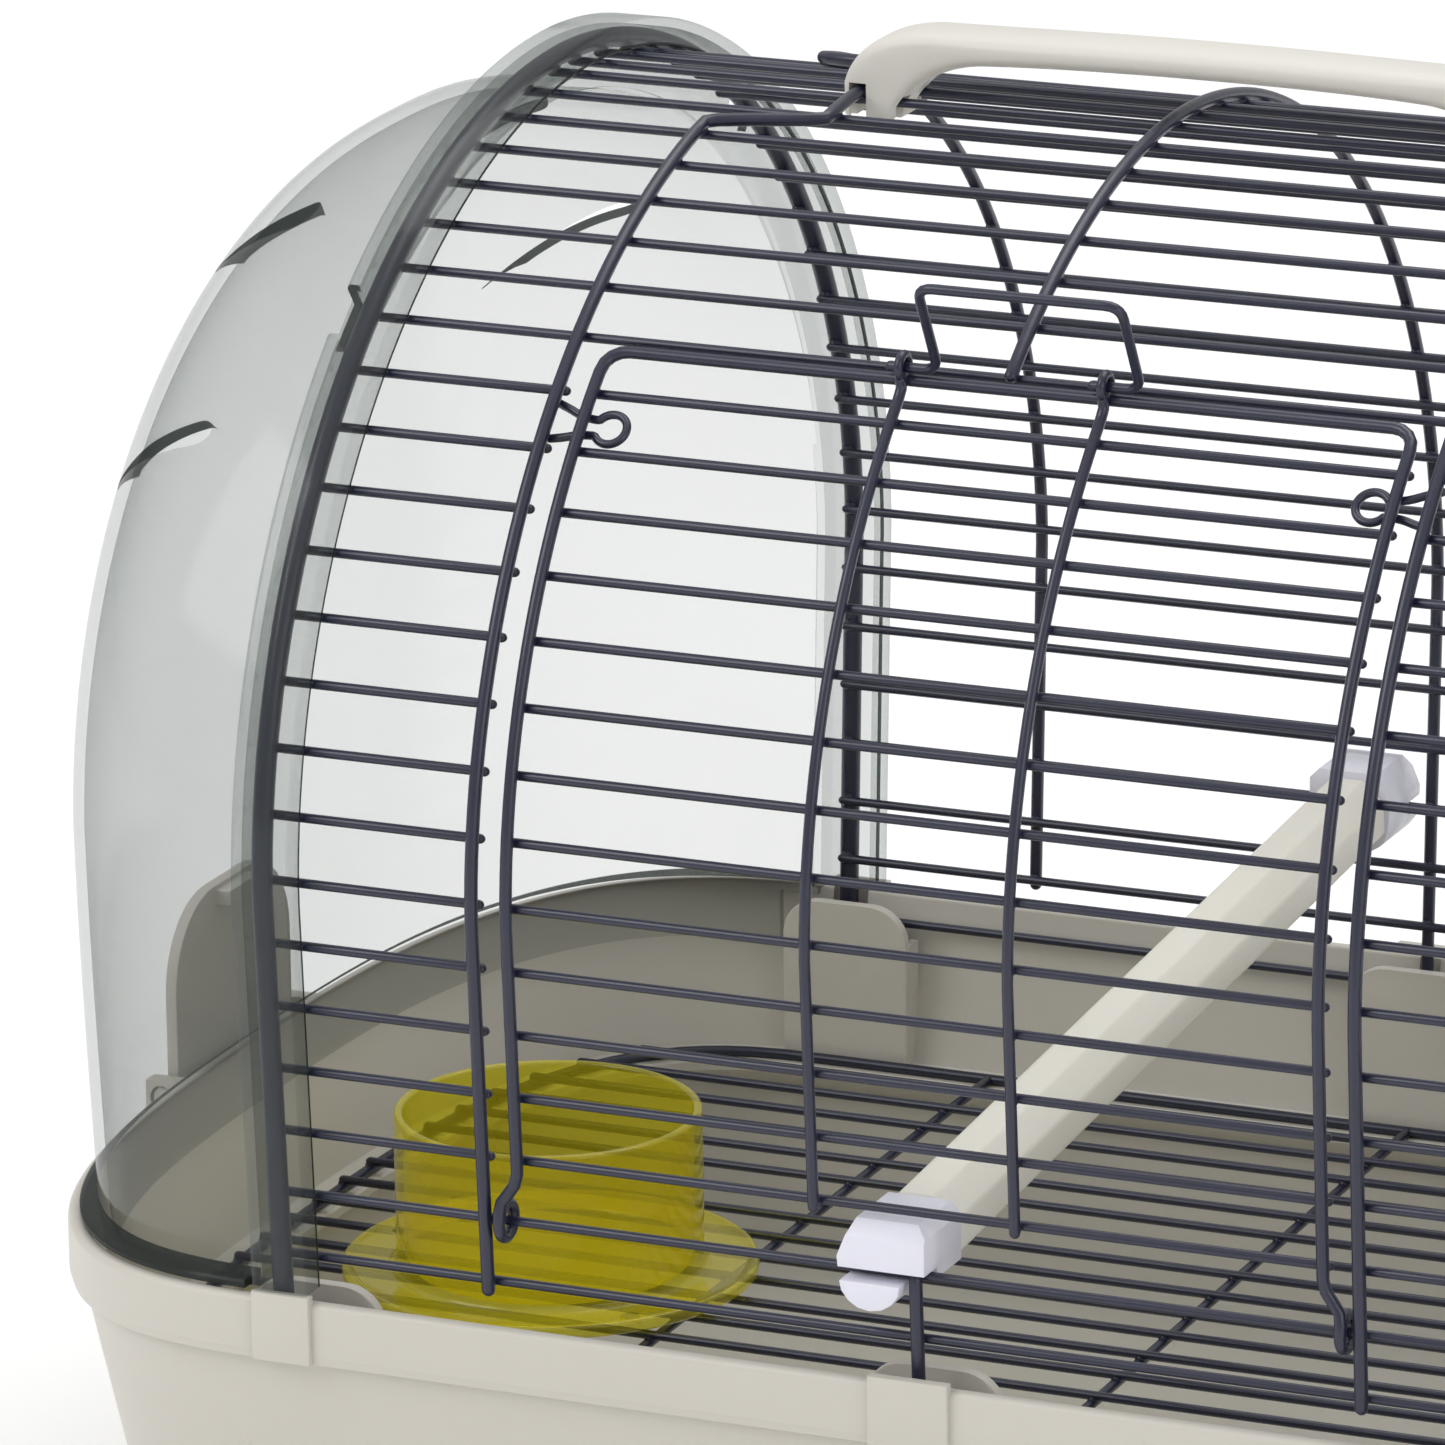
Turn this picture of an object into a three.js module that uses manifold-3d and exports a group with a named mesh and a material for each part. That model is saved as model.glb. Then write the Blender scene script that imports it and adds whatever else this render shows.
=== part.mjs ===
// A small-pet carry cage: a welded wire vault between two see-through end domes, standing in a moulded tray,
// with a carry handle, a drop-down door, a perch and a feeder cup.
// Millimetres. +X runs along the cage, -Y is the door side, +Z is up. The origin is the middle of the underside.

import * as THREE from "three";
import { mergeVertices } from "three/addons/utils/BufferGeometryUtils.js";
import Module from "manifold-3d";

const wasm = await Module();
wasm.setup();

// ---- Driving dimensions ----
const RIM_Z = 80; // top of the tray's rim above the table
const GAP = 0.4; // least clearance between separate pieces

// Vault section, in heights above the rim: a leg that leans outward, then a superelliptic arch
const FOOT_Y = 133.25;
const LEG_LEAN = 0.059;
const SPRING_H = 79.64;
const ARCH_RISE = 127.76;
const ARCH_POWER = 1.945;
const ARCH_Y = FOOT_Y + LEG_LEAN * SPRING_H;
const CROWN_H = SPRING_H + ARCH_RISE;

// Wires of the vault
const WIRE_PITCH = 12.5;
const WIRE_W = 1.6; // a square bar with the steel of a 1.8 mm round wire
const FIRST_WIRE_H = 7.5; // height of wire 1
const TOP_WIRE = 23;
const HOOP_W = 2.3;
const HOOP_LIFT = 1.8;
const END_HOOP_W = 3.54;
const END_HOOP_LIFT = 2.42;
const END_HOOP_X = 129.5;
const LEG_BOTTOM_H = -12;
const SIDE_HOOP_X = 87;

// Door
const DOOR_X = 80;
const DOOR_BOTTOM_WIRE = 3;
const DOOR_TOP_WIRE = 15;
const DOOR_TOP_S = 183.7;
const DOOR_BAR_W = 2.12;
const DOOR_BAR_LIFT = 1.7;
const RIB_X = 20;
const HINGE_WIRE = 2;
const HINGE_EYE_X = 83.6;
const BAIL_EYE_S = 184.5;
const BAIL_EYE_LIFT = 4.7;

// Tray plan: straight sides with superelliptic ends
const TRAY_STRAIGHT_X = 129.5;
const TRAY_END = 75;
const TRAY_Y = 140;
const TRAY_POWER = 2.87;

// End domes
const DOME_X = 129.45;
const DOME_REACH = 71.2;
const DOME_POWER = 2.89; // of the plan
const DOME_RISE_POWER = 3.16; // of the long section
const DOME_SWELL = 0.092;
const DOME_SCALE = 0.975; // the dome's height over the vault's
const DOME_INSET = 2.9; // inside the vault's wires
const DOME_WALL = 2;
const DOME_TOP_H = CROWN_H * DOME_SCALE;

// Floor grid, cup, perch
const GRID_Z = RIM_Z - 32.4;
const GRID_PITCH = 12.4;
const CUP_X = -125;
const CUP_Y = -26;
const CUP_FOOT_Z = GRID_Z + 1.2;
const CUP_R = 30.5;
const SAUCER_R = 41.5;
const PERCH_FLATS = 15.6;
const PERCH_FRONT_X = -5.8;
const PERCH_BACK_X = -12.3;
const PERCH_OVER_WIRE = 2.2; // the perch's axis above the wires its clips grip
const HANDLE_X = 5; // middle of the handle
const HANDLE_REACH = 73;
const CREST_REACH = 69.5; // where the handle's feet hold the side hoops

// ---- Solids ----

function vertices(geometry) {
  const position = geometry.attributes.position;
  return Array.from({ length: position.count }, (_, i) => new THREE.Vector3().fromBufferAttribute(position, i));
}

// Moves every vertex of a geometry to place(vertex)
function remap(geometry, place) {
  vertices(geometry).forEach((corner, i) => {
    const { x, y, z } = place(corner);
    geometry.attributes.position.setXYZ(i, x, y, z);
  });
  return geometry;
}

// The manifold solid of a closed geometry, with its faces turned outward
function solid(geometry) {
  geometry.deleteAttribute("normal");
  geometry.deleteAttribute("uv");
  const merged = mergeVertices(geometry, 1e-4);
  const corners = vertices(merged);
  const triangles = [];
  let volume = 0;
  for (let i = 0; i < merged.index.count; i += 3) {
    const [a, b, c] = merged.index.array.slice(i, i + 3);
    if (a !== b && b !== c && c !== a) {
      triangles.push([a, b, c]);
      volume += corners[a].dot(corners[b].clone().cross(corners[c]));
    }
  }
  const outward = volume > 0 ? triangles : triangles.map(([a, b, c]) => [a, c, b]);
  const vertProperties = merged.attributes.position.array;
  return new wasm.Manifold(new wasm.Mesh({ numProp: 3, vertProperties, triVerts: Uint32Array.from(outward.flat()) }));
}

function weld(...geometries) {
  return geometries.map(solid).reduce((joined, next) => joined.add(next));
}

function cut(body, ...geometries) {
  return geometries.map(solid).reduce((left, tool) => left.subtract(tool), body);
}

function geometryOf(body) {
  const mesh = body.getMesh();
  const geometry = new THREE.BufferGeometry();
  geometry.setAttribute("position", new THREE.Float32BufferAttribute(mesh.vertProperties, 3));
  geometry.setIndex(new THREE.Uint32BufferAttribute(mesh.triVerts, 1));
  return geometry;
}

function box(x0, x1, y0, y1, z0, z1) {
  const block = new THREE.BoxGeometry(x1 - x0, y1 - y0, z1 - z0);
  return block.translate((x0 + x1) / 2, (y0 + y1) / 2, (z0 + z1) / 2);
}

// A prism between two points
function rod(from, to, radius, sides) {
  const prism = new THREE.CylinderGeometry(radius, radius, from.distanceTo(to), sides);
  prism.rotateY(Math.PI / sides);
  const along = to.clone().sub(from).normalize();
  prism.applyQuaternion(new THREE.Quaternion().setFromUnitVectors(new THREE.Vector3(0, 1, 0), along));
  const middle = from.clone().lerp(to, 0.5);
  return prism.translate(middle.x, middle.y, middle.z);
}

// A path that a sweep follows corner by corner
class BentPath extends THREE.Curve {
  constructor(points) {
    super();
    this.points = points;
  }

  direction(i) {
    return this.points[i + 1].clone().sub(this.points[i]).normalize();
  }

  getTangentAt(u) {
    const last = this.points.length - 1;
    const i = Math.round(u * last);
    const before = this.direction(Math.max(i - 1, 0));
    return before.add(this.direction(Math.min(i, last - 1))).normalize();
  }

  getSpacedPoints() {
    return this.points;
  }
}

// A bar with a regular section of a given width over its flats, along a list of points
function bar(points, width, sides = 4) {
  const radius = width / 2 / Math.cos(Math.PI / sides);
  const corners = Array.from({ length: sides }, (_, i) => {
    const angle = ((i + 0.5) * 2 * Math.PI) / sides;
    return new THREE.Vector2(radius * Math.cos(angle), radius * Math.sin(angle));
  });
  const settings = { steps: points.length - 1, bevelEnabled: false, extrudePath: new BentPath(points) };
  return new THREE.ExtrudeGeometry(new THREE.Shape(corners), settings);
}

// Rounds the inner corners of a list of points
function soften(corners, radius, steps = 3) {
  const path = [corners[0]];
  for (let i = 1; i < corners.length - 1; i++) {
    const [a, b, c] = corners.slice(i - 1, i + 2);
    const start = b.clone().lerp(a, Math.min(radius / b.distanceTo(a), 0.45));
    const end = b.clone().lerp(c, Math.min(radius / b.distanceTo(c), 0.45));
    path.push(...new THREE.QuadraticBezierCurve3(start, b, end).getPoints(steps));
  }
  path.push(corners.at(-1));
  return path;
}

// A wire ring about the X direction
function eye(centre, radius, wireRadius) {
  const ring = new THREE.TorusGeometry(radius, wireRadius, 5, 10);
  return ring.rotateY(Math.PI / 2).translate(centre.x, centre.y, centre.z);
}

// A closed body of stacked rings: corner i of ring k sits at place(i, k), and the end rings are capped
function stack(sides, rings, place) {
  const body = new THREE.CylinderGeometry(1, 1, rings - 1, sides, rings - 1);
  body.rotateX(Math.PI / 2);
  body.translate(0, 0, (rings - 1) / 2);
  return remap(body, (corner) => {
    const ring = Math.round(corner.z);
    if (Math.hypot(corner.x, corner.y) < 0.5) {
      return place(0, ring).lerp(place(sides / 2, ring), 0.5);
    }
    const turn = Math.atan2(corner.y, corner.x) / (2 * Math.PI);
    return place((Math.round(turn * sides) + sides) % sides, ring);
  });
}

function superPower(value, power) {
  return Math.sign(value) * Math.abs(value) ** (2 / power);
}

// Corner i of an outline with two superelliptic ends, the +X end first
function roundEndedPlan(i, sides, straightX, endX, halfY, power) {
  const half = sides / 2;
  const angle = Math.PI * ((i % half) / (half - 1) - 0.5);
  const side = i < half ? 1 : -1;
  const reach = superPower(Math.max(Math.cos(angle), 0), power);
  const x = side * (straightX + endX * reach);
  return new THREE.Vector2(x, side * halfY * superPower(Math.sin(angle), power));
}

// ---- The vault's section ----

const LEG_START_H = -20;
const LEG_SLOPE = Math.hypot(1, LEG_LEAN);
const START_S = (LEG_START_H - FIRST_WIRE_H) * LEG_SLOPE;

// Half of the section, from below the rim to the crown
class VaultSection extends THREE.Curve {
  getPoint(t, target = new THREE.Vector3()) {
    const legShare = 0.3;
    if (t < legShare) {
      const height = LEG_START_H + ((SPRING_H - LEG_START_H) * t) / legShare;
      return target.set(0, FOOT_Y + LEG_LEAN * height, height);
    }
    const angle = (Math.PI / 2) * Math.min((t - legShare) / (1 - legShare), 1);
    const y = ARCH_Y * superPower(Math.max(Math.cos(angle), 0), ARCH_POWER);
    return target.set(0, y, SPRING_H + ARCH_RISE * superPower(Math.sin(angle), ARCH_POWER));
  }
}

const section = new VaultSection();
section.arcLengthDivisions = 800;
const CROWN_S = section.getLength() + START_S;
const BACK_S = 2 * CROWN_S;

// A point of the vault. s is the girth from wire 1, over the crown and down to BACK_S at the back's wire 1;
// lift is the distance outward from the wires' middle surface.
function onVault(x, s, lift = 0) {
  const front = s <= CROWN_S;
  const u = Math.min(((front ? s : BACK_S - s) - START_S) / (CROWN_S - START_S), 1);
  const point = section.getPointAt(u);
  const along = u < 1 ? section.getTangentAt(u) : new THREE.Vector3(0, -1, 0);
  const y = point.y + lift * along.z;
  return new THREE.Vector3(x, front ? -y : y, point.z - lift * along.y);
}

function legS(height) {
  return (height - FIRST_WIRE_H) * LEG_SLOPE;
}

function wireS(number) {
  return WIRE_PITCH * (number - 1);
}

function range(from, to, steps) {
  return Array.from({ length: steps + 1 }, (_, i) => from + ((to - from) * i) / steps);
}

// A straight wire along X, with two faces square to the vault
function longWire(x0, x1, s, lift = 0) {
  const middle = onVault(0, s, lift);
  const out = onVault(0, s, lift + 1).sub(middle);
  const straight = new THREE.BoxGeometry(x1 - x0, WIRE_W, WIRE_W);
  return straight.rotateX(Math.atan2(out.z, out.y)).translate((x0 + x1) / 2, middle.y, middle.z);
}

// ---- Wire barrel ----

function endHoop(side) {
  const places = range(legS(LEG_BOTTOM_H), BACK_S - legS(LEG_BOTTOM_H), 36);
  const points = places.map((s) => onVault(side * END_HOOP_X, s, END_HOOP_LIFT));
  return bar(points, END_HOOP_W);
}

// The hoops beside the door step inward over the crown, where the handle clips on
const CREST_Y = 22;
const CREST_STEP_Y = 6.5;

function sideHoop(side) {
  const foot = -1.5;
  const crestX = Math.abs(HANDLE_X + side * CREST_REACH);
  const stepStart = CROWN_S - CREST_Y - CREST_STEP_Y;
  const stepEnd = CROWN_S - CREST_Y;
  const front = [...range(foot, stepStart, 13), ...range(stepStart, stepEnd, 4).slice(1)];
  const girths = [...front, ...front.map((s) => BACK_S - s).reverse()];
  const points = girths.map((s) => {
    const beyond = Math.abs(s - CROWN_S) - CREST_Y;
    const step = 1 - THREE.MathUtils.smoothstep(beyond, 0, CREST_STEP_Y);
    return onVault(side * (SIDE_HOOP_X - (SIDE_HOOP_X - crestX) * step), s, HOOP_LIFT);
  });
  const crown = points.length / 2;
  points.splice(crown, 0, ...range(stepEnd, BACK_S - stepEnd, 4).slice(1, 4).map((s) =>
    onVault(side * crestX, s, HOOP_LIFT)));
  return bar(points, HOOP_W);
}

function midHoop(fromS, toS, steps) {
  return bar(range(fromS, toS, steps).map((s) => onVault(0, s, HOOP_LIFT)), HOOP_W);
}

function isDoorway(number, front) {
  return front && number >= DOOR_BOTTOM_WIRE && number <= DOOR_TOP_WIRE;
}

function wireBarrel() {
  const pieces = [endHoop(-1), endHoop(1), sideHoop(-1), sideHoop(1)];
  const leg = legS(LEG_BOTTOM_H);
  const reach = END_HOOP_X + 1;
  pieces.push(midHoop(wireS(DOOR_TOP_WIRE + 1) - 1, BACK_S - leg, 22));
  pieces.push(midHoop(leg, wireS(HINGE_WIRE) + 0.6, 1));
  for (const front of [true, false]) {
    for (let number = 0; number <= TOP_WIRE; number++) {
      const s = front ? wireS(number) : BACK_S - wireS(number);
      if (isDoorway(number, front)) {
        pieces.push(longWire(-reach, 1 - SIDE_HOOP_X, s), longWire(SIDE_HOOP_X - 1, reach, s));
      } else {
        pieces.push(longWire(-reach, reach, s));
      }
    }
  }
  return weld(...pieces);
}

// ---- Door, bail and catches ----

function door() {
  const pieces = [];
  for (let number = DOOR_BOTTOM_WIRE; number <= DOOR_TOP_WIRE; number++) {
    pieces.push(longWire(-DOOR_X - 0.9, DOOR_X + 0.9, wireS(number)));
  }
  const hingeS = wireS(HINGE_WIRE);
  const sideBar = (side) => [
    onVault(side * HINGE_EYE_X, hingeS + 0.6, 3.2),
    onVault(side * HINGE_EYE_X, hingeS + 3.6, 2.4),
    onVault(side * DOOR_X, hingeS + 8.5, DOOR_BAR_LIFT),
    ...range(hingeS + 12, DOOR_TOP_S - 5, 9).map((s) => onVault(side * DOOR_X, s, DOOR_BAR_LIFT)),
    onVault(side * (DOOR_X - 1.5), DOOR_TOP_S - 1.5, DOOR_BAR_LIFT),
    onVault(side * (DOOR_X - 5), DOOR_TOP_S, DOOR_BAR_LIFT),
  ];
  pieces.push(bar([...sideBar(-1), ...sideBar(1).reverse()], DOOR_BAR_W));
  const bottomS = wireS(DOOR_BOTTOM_WIRE);
  for (const side of [-1, 1]) {
    pieces.push(eye(onVault(side * HINGE_EYE_X, hingeS), 3.3, 1.1));
    const rib = range(bottomS - 0.6, DOOR_TOP_S - 6, 9).map((s) => onVault(side * RIB_X, s, DOOR_BAR_LIFT));
    rib.push(onVault(side * RIB_X, BAIL_EYE_S - 2, BAIL_EYE_LIFT - 1.2));
    pieces.push(bar(rib, DOOR_BAR_W - 0.1));
    pieces.push(eye(onVault(side * RIB_X, BAIL_EYE_S, BAIL_EYE_LIFT), 2.3, 0.85));
  }
  return weld(...pieces);
}

const BAIL_LEFT_X = -13;
const BAIL_RIGHT_X = 27;
const BAIL_LEG = 20.6;
const BAIL_LEAN = THREE.MathUtils.degToRad(29);
const BAIL_PIN = 10;

function doorBail() {
  const pivot = onVault(0, BAIL_EYE_S, BAIL_EYE_LIFT);
  const along = new THREE.Vector3(0, -Math.sin(BAIL_LEAN), Math.cos(BAIL_LEAN));
  const top = pivot.clone().addScaledVector(along, BAIL_LEG);
  const corners = [
    new THREE.Vector3(BAIL_LEFT_X - BAIL_PIN, pivot.y, pivot.z),
    new THREE.Vector3(BAIL_LEFT_X, pivot.y, pivot.z),
    new THREE.Vector3(BAIL_LEFT_X, top.y, top.z),
    new THREE.Vector3(BAIL_RIGHT_X, top.y, top.z),
    new THREE.Vector3(BAIL_RIGHT_X, pivot.y, pivot.z),
    new THREE.Vector3(BAIL_RIGHT_X - BAIL_PIN, pivot.y, pivot.z),
  ];
  return weld(bar(soften(corners, 3.2), 1.9, 6));
}

// A loop of wire from the side hoop, behind the door's side bar, and back
function doorCatch(side) {
  const lift = -0.6;
  const ringX = 75.2;
  const ringS = 168.1;
  const ringR = 3.2;
  const loop = range(150, -150, 10).map((degrees) => {
    const angle = THREE.MathUtils.degToRad(degrees);
    return [ringX - ringR * Math.cos(angle), ringS + ringR * Math.sin(angle)];
  });
  const path = [[87.6, 172.7], [84.5, 171.6], [81.5, 170.2], ...loop, [81.5, 166.2], [84, 165.4], [86.6, 164.9]];
  return weld(bar(path.map(([x, s]) => onVault(side * x, s, lift)), 1.6, 6));
}

// ---- End domes ----

// Half width of the dome at a height above the rim, outside the wall
function domeHalfY(height) {
  const h = height / DOME_SCALE;
  if (h < SPRING_H) {
    return FOOT_Y + LEG_LEAN * h - DOME_INSET;
  }
  const rise = Math.min((h - SPRING_H) / ARCH_RISE, 1);
  return Math.max(ARCH_Y * (1 - rise ** ARCH_POWER) ** (1 / ARCH_POWER) - DOME_INSET, 0);
}

const SKIRT_H = -10; // the dome's end reaches this far into the tray
const SKIRT_TAPER = 0.19;

// How far the dome stands out from DOME_X at a height
function domeReach(height) {
  if (height <= 0) {
    return DOME_REACH + SKIRT_TAPER * height;
  }
  const rise = Math.min(height / DOME_TOP_H, 1);
  const arch = (1 - rise ** DOME_RISE_POWER) ** (1 / DOME_RISE_POWER);
  return DOME_REACH * arch * (1 + DOME_SWELL * rise);
}

// The dome's outside or, with a wall's thickness, its inside, as a solid about the left dome's middle
function domeBody(wall) {
  const sides = 36;
  const levels = 10;
  const heights = [SKIRT_H, 0];
  for (let k = 1; k <= levels; k++) {
    heights.push(DOME_TOP_H * superPower(Math.sin((k / levels) * (Math.PI / 2)), DOME_RISE_POWER));
  }
  return stack(sides, heights.length, (i, ring) => {
    const height = heights[ring];
    const reach = Math.max(domeReach(height) - wall, 0);
    const halfY = Math.max(domeHalfY(Math.max(height, 0)) - wall, 0);
    const plan = roundEndedPlan(i, sides, 0, reach, halfY, DOME_POWER);
    const lowered = height <= 0 ? height - wall * 0.5 : height * (1 - wall / DOME_TOP_H);
    return new THREE.Vector3(plan.x - DOME_X, plan.y, lowered);
  });
}

// The point of the dome's outside at a height, turn degrees round from the cage's side; 1 is on the surface
function onDome(height, turn, scale) {
  const angle = THREE.MathUtils.degToRad(turn);
  const x = domeReach(height) * superPower(Math.cos(angle), DOME_POWER);
  const y = domeHalfY(height) * superPower(Math.sin(angle), DOME_POWER);
  return new THREE.Vector3(-DOME_X - x * scale, -y * scale, height * (0.9 + 0.1 * scale));
}

// A crescent slot through the dome's wall, from one height and turn to another
function vent(from, to, bulge, thickness, side) {
  const outline = new THREE.Shape();
  const chord = new THREE.Vector2(to.turn - from.turn, to.height - from.height);
  const along = (share, offset) => {
    const swell = 4 * share * (1 - share) * offset;
    return new THREE.Vector2(from.turn + chord.x * share, from.height + chord.y * share + swell);
  };
  const upper = range(0, 1, 6).map((share) => along(share, bulge + thickness / 2));
  const lower = range(1, 0, 6).slice(1, 6).map((share) => along(share, bulge - thickness / 2));
  outline.setFromPoints([...upper, ...lower]);
  const cutter = new THREE.ExtrudeGeometry(outline, { depth: 1, steps: 1, bevelEnabled: false });
  return remap(cutter, ({ x, y, z }) => {
    const point = onDome(y, x, 0.93 + 0.12 * z);
    point.y *= side;
    return point;
  });
}

const CHANNEL_OUT = 5; // the channel's faces on the dome's side of the end hoop and on the vault's side
const CHANNEL_IN = 7;
const CHANNEL_LIFT = 7.1;
const CHANNEL_WALL = 1.95;
const LIP_LIFT = 1.3;
const SEAT_LIFT = -5.4; // the channel's outer wall runs down to the dome's shell

// The channel round the dome's mouth that takes the end hoop, as a body swept round the vault
function domeChannel() {
  const section = new THREE.Shape([
    new THREE.Vector2(CHANNEL_OUT, SEAT_LIFT),
    new THREE.Vector2(CHANNEL_OUT, CHANNEL_LIFT),
    new THREE.Vector2(-CHANNEL_IN, CHANNEL_LIFT),
    new THREE.Vector2(-CHANNEL_IN, LIP_LIFT),
    new THREE.Vector2(CHANNEL_WALL - CHANNEL_IN, LIP_LIFT),
    new THREE.Vector2(CHANNEL_WALL - CHANNEL_IN, CHANNEL_LIFT - CHANNEL_WALL),
    new THREE.Vector2(CHANNEL_OUT - CHANNEL_WALL, CHANNEL_LIFT - CHANNEL_WALL),
    new THREE.Vector2(CHANNEL_OUT - CHANNEL_WALL, SEAT_LIFT),
  ]);
  const crownDepth = 2.2; // the dome's crown is lower than the vault's
  const footS = legS(2);
  const channel = new THREE.ExtrudeGeometry(section, { depth: 1, steps: 30, bevelEnabled: false });
  return remap(channel, (corner) => {
    const s = footS + (BACK_S - 2 * footS) * corner.z;
    const deeper = corner.y < SEAT_LIFT + 1 ? crownDepth * (onVault(0, s).z / CROWN_H) ** 4 : 0;
    return onVault(-END_HOOP_X - corner.x, s, corner.y - deeper);
  });
}

// Everything of the dome's body that would stand inside the channel
function domeMouth() {
  const mouthX = END_HOOP_X + CHANNEL_OUT - CHANNEL_WALL / 2;
  return box(-mouthX, 0, -TRAY_Y, TRAY_Y, SKIRT_H - 5, CROWN_H + 5);
}

const FLANGE_X = 141; // the flange over the tray's rim starts this far out
const FLANGE_INSET = 1.2;

function domeFlange() {
  const outline = trayBody([
    [0.5, TRAY_Y - FLANGE_INSET],
    [2.7, TRAY_Y - FLANGE_INSET],
    [3.5, TRAY_Y - FLANGE_INSET - 0.8],
  ]);
  return cut(weld(outline), box(-FLANGE_X, 300, -TRAY_Y, TRAY_Y, -1, 5), domeBody(DOME_WALL / 2));
}

function dome() {
  const shell = cut(weld(domeBody(0)), domeBody(DOME_WALL), domeMouth());
  const skirtEnd = box(-142, 0, -TRAY_Y, TRAY_Y, SKIRT_H - 2, GAP);
  const vents = [];
  for (const side of [-1, 1]) {
    vents.push(vent({ turn: 37.6, height: 138 }, { turn: 69.8, height: 155 }, 1.7, 3.2, side));
    vents.push(vent({ turn: 30, height: 174 }, { turn: 60.7, height: 188 }, 1.5, 3, side));
  }
  return cut(shell, skirtEnd).add(domeFlange()).add(weld(domeChannel())).subtract(weld(...vents));
}

// ---- Tray ----

function trayBody(levels) {
  const sides = 32;
  return stack(sides, levels.length, (i, ring) => {
    const [z, halfY] = levels[ring];
    const inset = TRAY_Y - halfY;
    const plan = roundEndedPlan(i, sides, TRAY_STRAIGHT_X, TRAY_END - inset, halfY, TRAY_POWER);
    return new THREE.Vector3(plan.x, plan.y, z);
  });
}

const BAND_Z = RIM_Z - 12.5; // foot of the rim's band
const LEDGE_Z = GRID_Z - 2.6; // the grid's ledge
const POCKET_X = 126.6; // middle of the end pockets
const POCKET_HALF = 14;

// An arch-topped plate on the ledge that keeps a hoop's leg against the wall, with two webs to the wall
function pocket(x, side) {
  const round = 8;
  const foot = LEDGE_Z - 0.5;
  const outline = new THREE.Shape();
  outline.moveTo(-POCKET_HALF, foot);
  outline.lineTo(POCKET_HALF, foot);
  outline.lineTo(POCKET_HALF, RIM_Z - round);
  outline.absarc(POCKET_HALF - round, RIM_Z - round, round, 0, Math.PI / 2, false);
  outline.absarc(round - POCKET_HALF, RIM_Z - round, round, Math.PI / 2, Math.PI, false);
  const plate = new THREE.ExtrudeGeometry(outline, { depth: 2.5, bevelEnabled: false, curveSegments: 4 });
  plate.rotateX(Math.PI / 2).translate(x, side * 127.25 + 1.25, 0);
  const webs = [-1, 1].map((end) => {
    const outer = x + end * POCKET_HALF;
    const inner = outer - end * 2;
    const ys = [side * 128, side * 133.5].sort((a, b) => a - b);
    return box(Math.min(outer, inner), Math.max(outer, inner), ...ys, foot, RIM_Z - 8.5);
  });
  return [plate, ...webs];
}

const CLIP_AXIS_X = 207.5;
const CLIP_AXIS_Z = RIM_Z - 3.5;
const LUG_Y = 27.5;
const LUG_W = 4;

function tray() {
  const outside = trayBody([
    [0, 121.5],
    [3, 124.6],
    [BAND_Z, TRAY_Y - 2.5],
    [BAND_Z, TRAY_Y],
    [RIM_Z, TRAY_Y],
  ]);
  const inside = trayBody([
    [3, 121.5],
    [LEDGE_Z - 7, 128.3],
    [LEDGE_Z - 2.5, 121.5],
    [LEDGE_Z, 121.5],
    [LEDGE_Z, 130.5],
    [RIM_Z + 1, 137],
  ]);
  const added = [];
  const recesses = [];
  for (const side of [-1, 1]) {
    for (const x of [-POCKET_X, 0, POCKET_X]) {
      added.push(...pocket(x, side));
    }
    for (const [x, halfX, proud] of [[-128, 6, 1.5], [0, 8, 1.5], [128, 6, 1.5]]) {
      const ys = [side * (TRAY_Y - 1.2), side * (TRAY_Y + 1.2)].sort((a, b) => a - b);
      added.push(box(x - halfX, x + halfX, ...ys, BAND_Z + 0.5, RIM_Z + proud));
    }
    for (const [x, halfX, depthY] of [[-129.5, 3.9, 138.6], [0, 2.2, 137.2], [129.5, 3.9, 138.6]]) {
      const ys = [side * 130, side * depthY].sort((a, b) => a - b);
      recesses.push(box(x - halfX, x + halfX, ...ys, RIM_Z + LEG_BOTTOM_H - 1.5, RIM_Z + 3));
    }
  }
  const holes = [];
  for (const end of [-1, 1]) {
    for (const side of [-1, 1]) {
      const ys = [side * LUG_Y, side * (LUG_Y + LUG_W)].sort((a, b) => a - b);
      const xs = [end * 203, end * (CLIP_AXIS_X + 3.4)].sort((a, b) => a - b);
      added.push(box(...xs, ...ys, BAND_Z + 1, RIM_Z));
    }
    const axis = (y) => new THREE.Vector3(end * CLIP_AXIS_X, y, CLIP_AXIS_Z);
    holes.push(rod(axis(-LUG_Y - LUG_W - 1), axis(LUG_Y + LUG_W + 1), 2.55, 8));
  }
  const body = cut(weld(outside), inside);
  return cut(body.add(weld(...added)), ...recesses, ...holes);
}

// ---- End clips: a plate on two trunnions, with a lip that leans to the dome ----

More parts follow.
